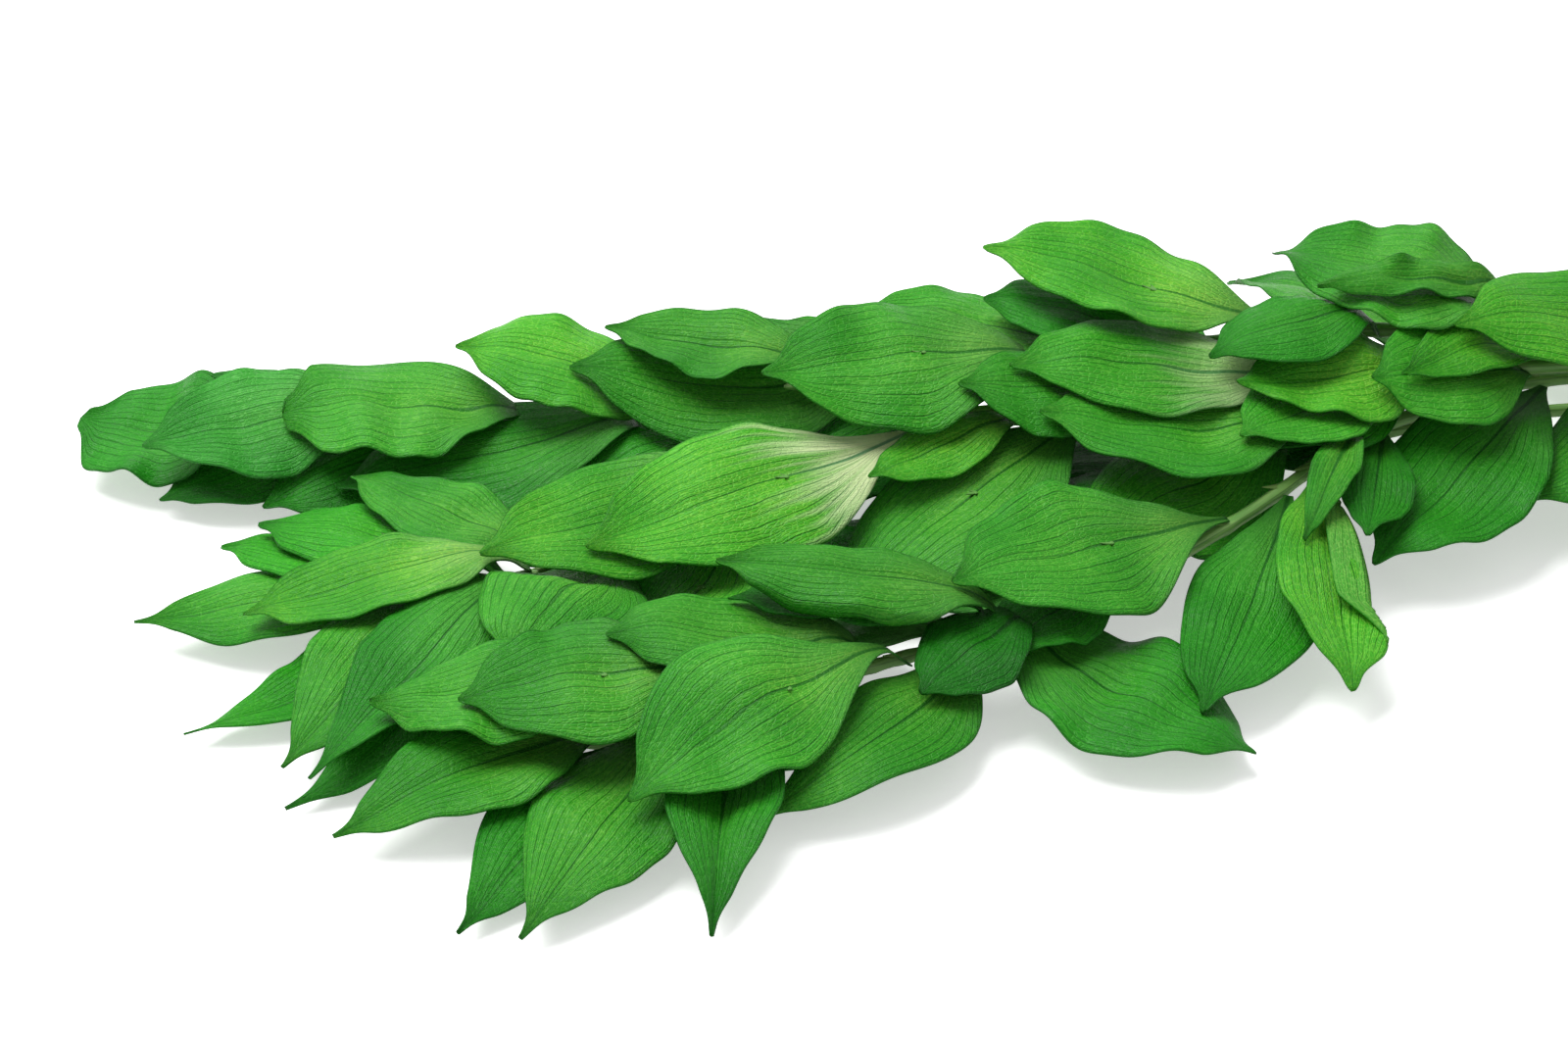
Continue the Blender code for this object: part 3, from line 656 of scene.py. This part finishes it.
def wavy(along, across, chance):
    """The leaf's own waves: rippled margins, soft pillows and small buckles, for a wave of 1."""
    turns = 2 * math.pi
    count = chance.uniform(1.2, 2.4, 2)
    start = chance.uniform(0, turns, 2)
    side = (across > 0).astype(int)
    ripple = np.sin(turns * count[side] * along + start[side])
    ripple += 0.35 * np.sin(turns * 2.7 * count[side] * along + 2 * start[side])
    pillow = turns * (chance.uniform(0.8, 1.5) * along + chance.uniform(0, 1)) + 1.3 * across
    buckle = np.sin(turns * (chance.uniform(2.6, 3.6) * along + chance.uniform(0, 1)))
    buckle = buckle * np.cos(2.4 * across + chance.uniform(0, 3))
    return ripple * across**2 + PILLOW * np.sin(pillow) + BUCKLE * buckle


def natural_leaf(along, across, base, heading, shape, look, own_shape, chance):
    """The leaf's points as it would hang with nothing under it, and their flat places."""
    length, width, _, _, roll, _, fold = shape
    wave, curl, twist = look
    outline, folded = own_shape
    steps, midrib, course = midrib_line(base, heading, shape, curl)
    points = np.column_stack([np.interp(along, steps, midrib[:, axis]) for axis in range(3)])
    course = np.interp(along, steps, course)
    blade = gently(along, 0, BLADE_STARTS)
    half = half_width(along, width, outline)
    fuller = 1 + np.sign(across) * chance.uniform(-0.06, 0.06)
    swing = chance.uniform(1.5, 2.5) * along + chance.uniform(0, 1)
    fuller += 0.025 * np.sin(2 * math.pi * swing)
    half = half * (1 + (fuller - 1) * blade)
    lean = roll + twist * (along - 0.35)
    tilt = np.radians(lean - fold * np.sign(across)) * blade
    offset, height = fold_over(across, half, along, folded)
    droop = ARCH + chance.uniform(-0.08, 0.08)
    height = height - droop * blade * half * across**2
    room = blade * (half / (0.5 * width)) ** 0.5
    height += wave * MM * wavy(along, across, chance) * room
    height += VEIN_RELIEF * np.cos(2 * math.pi * 3.75 * across) * room
    groove = np.exp(-((across * half / GROOVE_HALF_WIDTH) ** 2))
    height -= GROOVE_DEPTH * groove * blade * (1 - along) ** 0.5
    sideways = offset * np.cos(tilt) + height * np.sin(tilt)
    points[:, 0] -= np.sin(course) * sideways
    points[:, 1] += np.cos(course) * sideways
    points[:, 2] += height * np.cos(tilt) - offset * np.sin(tilt)
    flat = np.column_stack([along * length, across * half, np.zeros(len(along))])
    return points, flat


print("steps along a midrib:", MIDRIB_STEPS)

# %% [markdown]
# ## Settling
# A pile of leaves looks right only when each leaf rests on what is below it. So each leaf is
# laid in turn. Where its own shape would cut the table, a stem or a leaf that is already there,
# it is bent a little and tried again, until it passes just over it or, where it hangs well
# below it by nature, just under it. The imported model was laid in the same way, a little less
# tightly.

# %% What is already laid
SEAT_GAP = 0.0003
LAYER_STEP = 0.0008
CELL = 0.00125
TABLE_CORNER = np.array([-0.24, -0.20])
TABLE_CELLS = (580, 300)
EMPTY = 1.0


def cells(points):
    """The table cell under each point."""
    found = ((points[:, :2] - TABLE_CORNER) / CELL).astype(int)
    return found[:, 0], found[:, 1]


def laid_map(points, clear):
    """The lowest and the highest of these points over each table cell, and the room they need."""
    column, row = cells(points)
    steps = np.array([(x, y) for x in (-1, 0, 1) for y in (-1, 0, 1)])
    place = (column + steps[:, :1]).ravel(), (row + steps[:, 1:]).ravel()
    lowest = np.full(TABLE_CELLS, EMPTY)
    highest = np.full(TABLE_CELLS, -EMPTY)
    np.minimum.at(lowest, place, np.tile(points[:, 2], 9))
    np.maximum.at(highest, place, np.tile(points[:, 2], 9))
    return lowest - clear, highest + clear


laid = {}
for name, (route, radii) in stems.items():
    laid[name] = laid_map(smooth_route(route, CELL), CUT_END_RADIUS + SEAT_GAP + LEAF_THICKNESS)
print("laid stems:", len(laid), " table cell, mm:", CELL / MM)

# %% [markdown]
# A leaf that hangs well below something it crosses goes under it, if there is room; every other
# leaf goes over. A leaf's own stalk may touch its stem, and so may the very start of any leaf.

# %% Over or under
PASS_UNDER = 0.004
STALK_SHARE = 0.11
FREE_SHARE = 0.08


def crossings(samples, shares, laid, own):
    """The laid things that a leaf crosses: at which samples, and how a leaf passes each of them."""
    place = cells(samples)
    found = []
    for name, (below, above) in laid.items():
        crossed = (above[place] > 0) & (shares > (STALK_SHARE if name == own else FREE_SHARE))
        if crossed.any():
            lower = below[place][crossed]
            upper = above[place][crossed]
            higher = (samples[crossed, 2] - (lower + upper) / 2).mean()
            found.append((crossed, lower, upper, name != own and higher < -PASS_UNDER))
    return found


def limits(count, found):
    """The lowest and the highest for each sample. A leaf goes under what has no room over it."""
    under = [index for index, (_, _, _, lower_by_nature) in enumerate(found) if lower_by_nature]
    blocked = [None]
    while blocked:
        floor = np.full(count, LEAF_THICKNESS / 2)
        for index, (crossed, _, upper, _) in enumerate(found):
            if index not in under:
                floor[crossed] = np.maximum(floor[crossed], upper)
        blocked = [index for index in under if (floor[found[index][0]] > found[index][1]).any()]
        under = [index for index in under if index not in blocked]
    ceiling = np.full(count, EMPTY)
    for index in under:
        crossed, lower, _, _ = found[index]
        ceiling[crossed] = np.minimum(ceiling[crossed], lower)
    return floor, ceiling


print("a leaf passes under what is higher by, mm:", PASS_UNDER / MM)

# %% [markdown]
# A leaf bends softly, not in a sharp dent. So the miss at one point lifts or lowers the leaf
# around it too, at a coarse net of knots, and a smooth surface is drawn through the knots.

# %% Bending
REACH = 0.013
MOST_BEND = 0.002
SMALL = 0.00002
SETTLING_ROUNDS = 30
BEND_ALONG = 12
BEND_ACROSS = 6
CLOSER_AT_MIDRIB = 1.25


def bend(samples, points, miss):
    """How far each point moves for the samples that miss by this much."""
    wrong = miss > SMALL
    if not wrong.any():
        return np.zeros(len(points))
    away = samples[wrong][:, None, :2] - points[None, :, :2]
    near = np.exp(-(away**2).sum(2) / (2 * REACH**2))
    return (np.minimum(miss[wrong], MOST_BEND)[:, None] * near).max(0)


def smooth_shares(values, count):
    """Rows that read a smooth curve through count + 1 even knots from 0 to 1 at these values."""
    place = np.clip(values, 0, 1) * count
    first = np.clip(place.astype(int), 0, count - 1)
    part = place - first
    parts = (
        -0.5 * part + part**2 - 0.5 * part**3,
        1 - 2.5 * part**2 + 1.5 * part**3,
        0.5 * part + 2 * part**2 - 1.5 * part**3,
        -0.5 * part**2 + 0.5 * part**3,
    )
    shares = np.zeros((len(values), count + 1))
    for step, weight in enumerate(parts, start=-1):
        knot = np.clip(first + step, 0, count)
        np.add.at(shares, (np.arange(len(values)), knot), weight)
    return shares


def settle(points, along, spread_out, knots, laid, own):
    """Bends a leaf gently until every point clears the table and what it crosses."""
    natural = points
    floor, ceiling = limits(len(points), crossings(points, along, laid, own))
    knot_points = natural[knots]
    knot_lift = np.zeros(len(knots))
    held = np.clip(along[knots] / STALK_SHARE, 0, 1)
    for _ in range(SETTLING_ROUNDS):
        points = natural + np.outer(spread_out @ knot_lift, (0, 0, 1))
        low = bend(points, knot_points, floor - points[:, 2])
        high = bend(points, knot_points, points[:, 2] - ceiling)
        if not (low.any() or high.any()):
            break
        knot_lift += held * (low - high)
    return points


along, even, faces = sheet_grid(ROWS_ALONG, ROWS_ACROSS)
across = np.sign(even) * abs(even) ** CLOSER_AT_MIDRIB
each_way = (smooth_shares(along, BEND_ALONG), smooth_shares((1 + even) / 2, BEND_ACROSS))
spread_out = (each_way[0][:, :, None] * each_way[1][:, None, :]).reshape(len(along), -1)
knot_rows = np.arange(BEND_ALONG + 1) * (ROWS_ALONG // BEND_ALONG)
knot_columns = np.arange(BEND_ACROSS + 1) * (ROWS_ACROSS // BEND_ACROSS)
knots = (knot_rows[:, None] * (ROWS_ACROSS + 1) + knot_columns).ravel()
print("points on each leaf:", len(along), " knots:", len(knots))

# %% [markdown]
# ## Making the leaves
# A leaf that points along its stem sits on top of it; one that turns away sits at the stem's
# side. Each leaf is an open sheet of points, with Solidify for its thickness. The underside
# takes the second material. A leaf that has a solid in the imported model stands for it; the
# hidden ones are extra pieces on the same body.

# %% Seats and pieces
TOP_SEAT_TURN = 15
TEXTURE_STEP = (0.31, 0.0, 0.0)
STREAK_STEP = 0.37


def leaf_base(stem, distance, turn):
    """Where a leaf leaves its stem, and its heading: on top, or at the side it turns to."""
    route, radii = stem
    point, growth, radius = at_distance_from_tip(route, radii, distance)
    clear = radius + SEAT_GAP
    if abs(turn) < TOP_SEAT_TURN:
        return point + [0, 0, clear + LEAF_THICKNESS / 2], growth + turn
    side = math.radians(growth + math.copysign(90, turn))
    clear += STALK_HALF_WIDTH * abs(math.cos(math.radians(turn)))
    return point + [math.cos(side) * clear, math.sin(side) * clear, 0], growth + turn


def store(mesh, name, kind, values):
    """Keeps one value for each point of the mesh under this name."""
    layer = mesh.attributes.new(name, kind, "POINT")
    field = "color" if kind == "FLOAT_COLOR" else "vector"
    layer.data.foreach_set(field, np.ascontiguousarray(values, np.float32).ravel())


def make_piece(name, points, faces, materials):
    """A smooth mesh piece in the row frame, which rides on the bunch's one body."""
    mesh = bpy.data.meshes.new(name)
    mesh.from_pydata((np.asarray(points) + TO_ROW).tolist(), [], [list(f) for f in faces])
    mesh.shade_smooth()
    for material in materials:
        mesh.materials.append(material)
    piece = bpy.data.objects.new(name, mesh)
    bpy.context.scene.collection.objects.link(piece)
    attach(piece, "root")
    return piece


def make_leaf(name, points, flat, number, green, cream):
    piece = make_piece(name, points, faces, (leaf_top, leaf_under))
    mesh = piece.data
    own = np.full(len(points), STREAK_STEP * number)
    store(mesh, "blade", "FLOAT_VECTOR", np.column_stack([along, across, own]))
    store(mesh, "flat", "FLOAT_VECTOR", flat + number * np.array(TEXTURE_STEP))
    store(mesh, "tone", "FLOAT_COLOR", np.tile([*green, cream], (len(points), 1)))
    thicken = piece.modifiers.new("thickness", "SOLIDIFY")
    thicken.thickness = VISIBLE_THICKNESS
    thicken.offset = 0
    thicken.material_offset = 1
    return piece


print("materials of a leaf:", leaf_top.name, "and", leaf_under.name)

# %% Leaves
counts = dict.fromkeys(stems, 0)
bases = {name: [] for name in stems}
settled = {}
for number, row in enumerate(undergrowth + LEAVES, start=-len(undergrowth)):
    stem, distance, turn, length, width, rise, dip, roll, sweep, fold, solid, *look = row
    green, cream, wave, curl, twist = look
    chance = np.random.default_rng(100 + number)
    base, heading = leaf_base(stems[stem], distance * MM, turn)
    shape = (length * MM, width * MM, rise, dip, roll, sweep, fold)
    if number < 0:
        name = f"under_leaf_{-number}"
    else:
        counts[stem] += 1
        name = f"{stem}_leaf_{counts[stem]:02d}"
    own = OWN_SHAPES.get(name, (EVEN, NO_FOLD))
    look = (wave, curl, twist)
    points, flat = natural_leaf(along, across, base, heading, shape, look, own, chance)
    points = settle(points, along, spread_out, knots, laid, stem)
    laid[name] = laid_map(points, LAYER_STEP)
    shade = np.array(GREENS[green]) * chance.uniform(0.92, 1.08)
    piece = make_leaf(f"fine_{name}", points, flat, number, shade, cream)
    if solid:
        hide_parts(name)
    bases[stem].append((distance * MM, math.radians(heading), base))
    settled[name] = points
tallest = max(points[:, 2].max() for points in settled.values())
print("leaves laid:", len(settled), " highest point, mm:", round(tallest / MM, 1))

# %% [markdown]
# ## Stems with ridges and nodes
# A ruscus stem is not a smooth rod. Fine ridges run along it, and it swells a little at each
# node, where a leaf leaves it. So the stem is a loft: rings of points along the route, each ring
# with five low ridges. The scales on it and on the blades have fibres of two colours.

# %% Stem and bract materials
def stem_material():
    material, tree, shader = new_material("stem_green")
    flat = stored(tree, "flat")
    ridge = calc(tree, "PINGPONG", times(tree, parts_of(tree, flat)[1], 5.0), 0.5)
    streak = noise(tree, stretched(tree, flat, (90.0, 9.0, 1.0)), 1.0, 3.0)
    green = blend(tree, ease(tree, streak, 0.3, 0.7), (0.10, 0.27, 0.045, 1), (0.20, 0.39, 0.09, 1))
    green = blend(tree, ease(tree, ridge, 0.0, 0.13, 0.6, 0.0), green, (0.03, 0.085, 0.02, 1))
    pale = ease(tree, noise(tree, stretched(tree, flat, (14.0, 0.6, 1.0)), 1.0, 1.0), 0.5, 0.72)
    green = blend(tree, times(tree, pale, 0.55), green, (0.40, 0.42, 0.25, 1))
    height = calc(tree, "ADD", ridge, times(tree, streak, 0.6))
    finish(tree, shader, green, 0.46, height, 0.0002, 0.7)
    return material


def cut_material():
    """The cut end: pale pith with a fibrous ring."""
    material, tree, shader = new_material("stem_cut")
    place = tree.nodes.new("ShaderNodeTexCoord").outputs["Object"]
    fibre = noise(tree, place, 2600.0, 2.0)
    color = blend(tree, fibre, (0.42, 0.36, 0.20, 1), (0.62, 0.58, 0.38, 1))
    finish(tree, shader, color, 0.8, fibre, 0.0002, 0.8)
    return material


def scale_material(name, dark, pale):
    """A small scale: fibres of two colours."""
    material, tree, shader = new_material(name)
    flat = stored(tree, "flat")
    fibre = noise(tree, stretched(tree, flat, (250.0, 2600.0, 1.0)), 1.0, 2.0)
    color = blend(tree, fibre, dark, pale)
    finish(tree, shader, color, 0.6, fibre, 0.0001, 0.6)
    return material


stem_green = stem_material()
stem_cut = cut_material()
bract_dry = scale_material("bract_dry", (0.08, 0.20, 0.03, 1), (0.22, 0.34, 0.09, 1))
scar_green = scale_material("scar_green", (0.03, 0.14, 0.015, 1), (0.12, 0.30, 0.05, 1))
print("stem materials:", stem_green.name, stem_cut.name, bract_dry.name, scar_green.name)

# %% Stems
RING = 20
RING_STEP = 0.0022
RIDGES = 5
RIDGE_HEIGHT = 0.05
NODE_SWELLING = 0.00032
NODE_LENGTH = 0.0022
TIP_LENGTH = 0.004


def tube_faces(rings, around, closed):
    """The faces between rings of points. A closed tube joins its last ring to its first."""
    faces = []
    for row in range(rings if closed else rings - 1):
        here, ahead = row * around, (row + 1) % rings * around
        for step in range(around):
            other = (step + 1) % around
            faces.append((here + step, ahead + step, ahead + other, here + other))
    return faces


def frames_along(route):
    """A side and an up direction at each point of a route."""
    ahead = np.gradient(route, axis=0)
    ahead /= np.linalg.norm(ahead, axis=1)[:, None]
    side = np.cross(ahead, (0, 0, 1))
    side /= np.linalg.norm(side, axis=1)[:, None]
    return side, np.cross(side, ahead)


def make_stem(name, route, radii, nodes):
    """A ridged loft along the route, thicker at each node, with a cut face at its start."""
    fine = smooth_route(route, RING_STEP)
    steps = np.linalg.norm(np.diff(fine, axis=0), axis=1)
    walked = np.concatenate([[0], np.cumsum(steps)])
    left = walked[-1] - walked
    radius = np.interp(np.linspace(0, 1, len(fine)), np.linspace(0, 1, len(radii)), radii)
    for node in nodes:
        radius = radius + NODE_SWELLING * np.exp(-(((left - node) / NODE_LENGTH) ** 2))
    radius = radius * np.clip(0.35 + left / TIP_LENGTH, 0, 1)
    side, up = frames_along(fine)
    angle = np.linspace(0, 2 * math.pi, RING, endpoint=False)
    profile = 1 + RIDGE_HEIGHT * np.cos(RIDGES * angle)
    ring = (radius[:, None] * profile)[:, :, None]
    way = np.cos(angle)[:, None] * side[:, None] + np.sin(angle)[:, None] * up[:, None]
    points = (fine[:, None] + ring * way).reshape(-1, 3)
    faces = tube_faces(len(fine), RING, False)
    faces.append(tuple(range(RING)))
    faces.append(tuple(range(len(points) - 1, len(points) - RING - 1, -1)))
    piece = make_piece(f"fine_{name}", points, faces, (stem_green, stem_cut))
    piece.data.polygons[len(faces) - 2].material_index = 1
    turn = np.tile(angle / (2 * math.pi), len(fine))
    flat = np.column_stack([np.repeat(walked, RING), turn, np.zeros(len(points))])
    store(piece.data, "flat", "FLOAT_VECTOR", flat)
    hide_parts(name)
    return len(fine)


for name, (route, radii) in stems.items():
    rings = make_stem(f"{name}_stem", route, radii, [place for place, _, _ in bases[name]])
    print(name, "stem rings:", rings, " nodes:", len(bases[name]))

# %% [markdown]
# ## Bracts and the small scars on the blades
# At each node a dry bract, a small pointed scale, hugs the stem. On many blades tinier scales
# sit on the midrib, near the middle: there a ruscus flower grows, straight out of the leaf.

# %% Bracts
SCALE_THICKNESS = 0.00022
BRACT_WIDTH = 0.0022
BRACT_LIFT = 0.0009
SHORTEST_BRACT, LONGEST_BRACT = 0.0045, 0.0075


def scale_points(start, heading, length, width, lift):
    """A small pointed scale: a narrow hollow sheet that rises from start."""
    share, side, sheet = sheet_grid(8, 4)
    half = 0.5 * width * np.sin(math.pi * np.clip(share, 0.02, 1) ** 0.6) ** 0.8 * (1 - 0.3 * share)
    offset = side * half
    ahead = np.array([math.cos(heading), math.sin(heading), 0.0])
    left = np.array([-ahead[1], ahead[0], 0.0])
    rise = lift * share**1.5 - 0.35 * abs(offset)
    points = start + np.outer(share * length, ahead) + np.outer(offset, left)
    points = points + np.outer(rise, (0, 0, 1))
    return points, np.column_stack([share * length, offset, 0 * share]), sheet


def make_scales(name, scales, material):
    """All of these small scales as one piece with a thin wall."""
    points, flats, faces, count = [], [], [], 0
    for place, flat, sheet in scales:
        points.append(place)
        flats.append(flat)
        faces.append(sheet + count)
        count += len(place)
    piece = make_piece(name, np.vstack(points), np.vstack(faces), (material,))
    store(piece.data, "flat", "FLOAT_VECTOR", np.vstack(flats))
    thicken = piece.modifiers.new("thickness", "SOLIDIFY")
    thicken.thickness = SCALE_THICKNESS
    thicken.offset = 0
    return piece


chance = np.random.default_rng(7)
for name, (route, radii) in stems.items():
    scales = []
    for distance, heading, base in bases[name]:
        point, growth, radius = at_distance_from_tip(route, radii, distance + 0.001)
        start = point + [0, 0, radius - 0.0001]
        way = math.radians(growth) + chance.uniform(-0.3, 0.3)
        length = chance.uniform(SHORTEST_BRACT, LONGEST_BRACT)
        scales.append(scale_points(start, way, length, BRACT_WIDTH, BRACT_LIFT))
    make_scales(f"{name}_bracts", scales, bract_dry)
    print(name, "bracts:", len(scales))

# %% Scars on the blades
SCAR_LEAVES = (
    "middle_leaf_14 upper_leaf_03 upper_leaf_05 upper_leaf_07 front_leaf_20 "
    "middle_leaf_12 front_leaf_15 front_leaf_17 back_leaf_13 middle_leaf_07 "
    "middle_leaf_16"
).split()
SCAR_SCALES = ((0.0, 0.0036, 0.0008), (0.7, 0.0020, 0.0006), (-0.6, 0.0018, 0.0005))
SCAR_WIDTH = 0.0012
SCAR_ROW = 31
middle = SCAR_ROW * (ROWS_ACROSS + 1) + ROWS_ACROSS // 2
scales = []
for name in SCAR_LEAVES:
    points = settled[name]
    ahead = points[middle + ROWS_ACROSS + 1] - points[middle]
    heading = math.atan2(ahead[1], ahead[0])
    start = points[middle] + [0, 0, VISIBLE_THICKNESS / 2]
    for turn, length, lift in SCAR_SCALES:
        scales.append(scale_points(start, heading + turn, length, SCAR_WIDTH, lift))
make_scales("blade_scars", scales, scar_green)
print("blades with a scar:", len(SCAR_LEAVES))

# %% [markdown]
# ## The band
# A florist's rubber band goes three times round the stems near their cut ends. Each turn is a
# flat strip pulled taut: round the outer stems it follows them, and between them it runs
# straight.

# %% Band
BAND_PLACE = 0.370
BAND_WIDTH = 0.005
BAND_HALF_DEPTH = 0.00048
BAND_STANDOFF = 0.00055
BAND_STEPS = 96
BAND_TURNS = ((-0.0016, 0.0003), (0.0, -0.0004), (0.0016, 0.0002))
BAND_TURN_WIDTH = 0.0014
BAND_SECTION = [(-0.5, 0.0), (-0.44, 0.8), (0.0, 1.0), (0.44, 0.8)]
BAND_SECTION += [(-aside, -out) for aside, out in BAND_SECTION]


def band_material():
    material, tree, shader = new_material("band_rubber")
    place = tree.nodes.new("ShaderNodeTexCoord").outputs["Object"]
    grain = noise(tree, place, 1400.0, 3.0)
    color = blend(tree, grain, (0.40, 0.25, 0.10, 1), (0.56, 0.38, 0.18, 1))
    finish(tree, shader, color, 0.55, grain, 0.0001, 0.5)
    return material


def band_outline():
    """The taut loop round the stems: in each direction it stands off the furthest stem."""
    centers = []
    for route, _ in stems.values():
        order = np.argsort(route[:, 0])
        for end in (BAND_PLACE - BAND_WIDTH / 2, BAND_PLACE + BAND_WIDTH / 2):
            centers.append([np.interp(end, route[order, 0], route[order, 1 + k]) for k in (0, 1)])
    centers = np.array(centers)
    radius = CUT_END_RADIUS + SEAT_GAP + BAND_STANDOFF
    angles = np.linspace(0, 2 * math.pi, BAND_STEPS, endpoint=False)
    ways = np.column_stack([np.cos(angles), np.sin(angles)])
    loop = np.array([centers[np.argmax(centers @ way)] + way * radius for way in ways])
    return loop, ways


def band_turn(loop, ways, place, lean):
    """One turn: a rounded strip swept round the loop."""
    points = []
    for index, (spot, way) in enumerate(zip(loop, ways)):
        slide = lean * math.sin(2 * math.pi * index / len(loop))
        for across_x, out in BAND_SECTION:
            x = place + slide + across_x * BAND_TURN_WIDTH
            points.append([x, *(spot + way * out * BAND_HALF_DEPTH)])
    tube = tube_faces(len(loop), len(BAND_SECTION), True)
    return points, [(first, fourth, third, second) for first, second, third, fourth in tube]


band_rubber = band_material()
loop, ways = band_outline()
points, faces_of_band = [], []
for place, lean in BAND_TURNS:
    turn_points, turn_faces = band_turn(loop, ways, BAND_PLACE + place, lean)
    faces_of_band += [tuple(i + len(points) for i in face) for face in turn_faces]
    points += turn_points
band = make_piece("fine_band", points, faces_of_band, (band_rubber,))
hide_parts("elastic_band")
print("band turns:", len(BAND_TURNS), " points:", len(points))

# %% [markdown]
# ## Table and light
# The bunch lies on a white table in soft light. A pale world lights it from all sides, and one
# large lamp, high up behind its left end, gives the leaves their shape. The camera sees the
# table and the world as plain white: for its rays alone they are given a little more light, and
# the soft shadows close to the leaves stay.

# %% Table
TABLE_LIFT = 0.46


def seen_rays(tree):
    """1 for the rays of the camera and for those that mirrors and glass pass on, else 0."""
    rays = tree.nodes.new("ShaderNodeLightPath").outputs
    passed_on = calc(tree, "MAXIMUM", rays["Is Glossy Ray"], rays["Is Transmission Ray"])
    return calc(tree, "MAXIMUM", rays["Is Camera Ray"], passed_on)


def table_material():
    material, tree, shader = new_material("table_white")
    place = tree.nodes.new("ShaderNodeTexCoord").outputs["Object"]
    color = blend(tree, noise(tree, place, 3.0, 1.0), (0.90, 0.90, 0.90, 1), (0.92, 0.92, 0.92, 1))
    tree.links.new(color, shader.inputs["Base Color"])
    shader.inputs["Roughness"].default_value = 0.9
    shader.inputs["Specular IOR Level"].default_value = 0.1
    shader.inputs["Emission Color"].default_value = (1.0, 1.0, 1.0, 1)
    lift = times(tree, seen_rays(tree), TABLE_LIFT)
    tree.links.new(lift, shader.inputs["Emission Strength"])
    return material


bpy.ops.mesh.primitive_plane_add(size=8.0, location=(0, 0, 0))
table = bpy.context.object
table.name = "table"
table.data.materials.append(table_material())
table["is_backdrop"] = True
print("table, metres across:", round(table.dimensions.x, 1))

# %% Light
FILL_STRENGTH = 0.47
world = bpy.data.worlds.new("soft_white")
world.use_nodes = True
sky = world.node_tree.nodes["Background"]
sky.inputs["Color"].default_value = (1.0, 1.0, 1.0, 1)
strength = ease(world.node_tree, seen_rays(world.node_tree), 0.0, 1.0, FILL_STRENGTH, 1.0)
world.node_tree.links.new(strength, sky.inputs["Strength"])
bpy.context.scene.world = world


def soft_lamp(name, place, power, size):
    data = bpy.data.lights.new(name, "AREA")
    data.energy = power
    data.size = size
    lamp = bpy.data.objects.new(name, data)
    lamp.location = place
    lamp.rotation_euler = (PARTING - Vector(place)).to_track_quat("-Z", "Y").to_euler()
    bpy.context.scene.collection.objects.link(lamp)
    print(name, "watts:", power)


soft_lamp("lamp_above", (-0.48, 0.30, 1.05), 21.0, 0.9)
bpy.context.scene.view_settings.view_transform = "Standard"

# %% [markdown]
# ## Sizes
# Both boxes, of the imported model and of the visual one, are printed side by side. The visual
# model must stay as large as the imported one.

# %% Sizes
looks_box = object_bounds()
sizes = {
    "cad": [[float(value) for value in corner] for corner in cad_box],
    "visual": [[float(value) for value in corner] for corner in looks_box],
}
for name, corners in sizes.items():
    print(name, "box, mm:", [[round(value / MM, 1) for value in corner] for corner in corners])
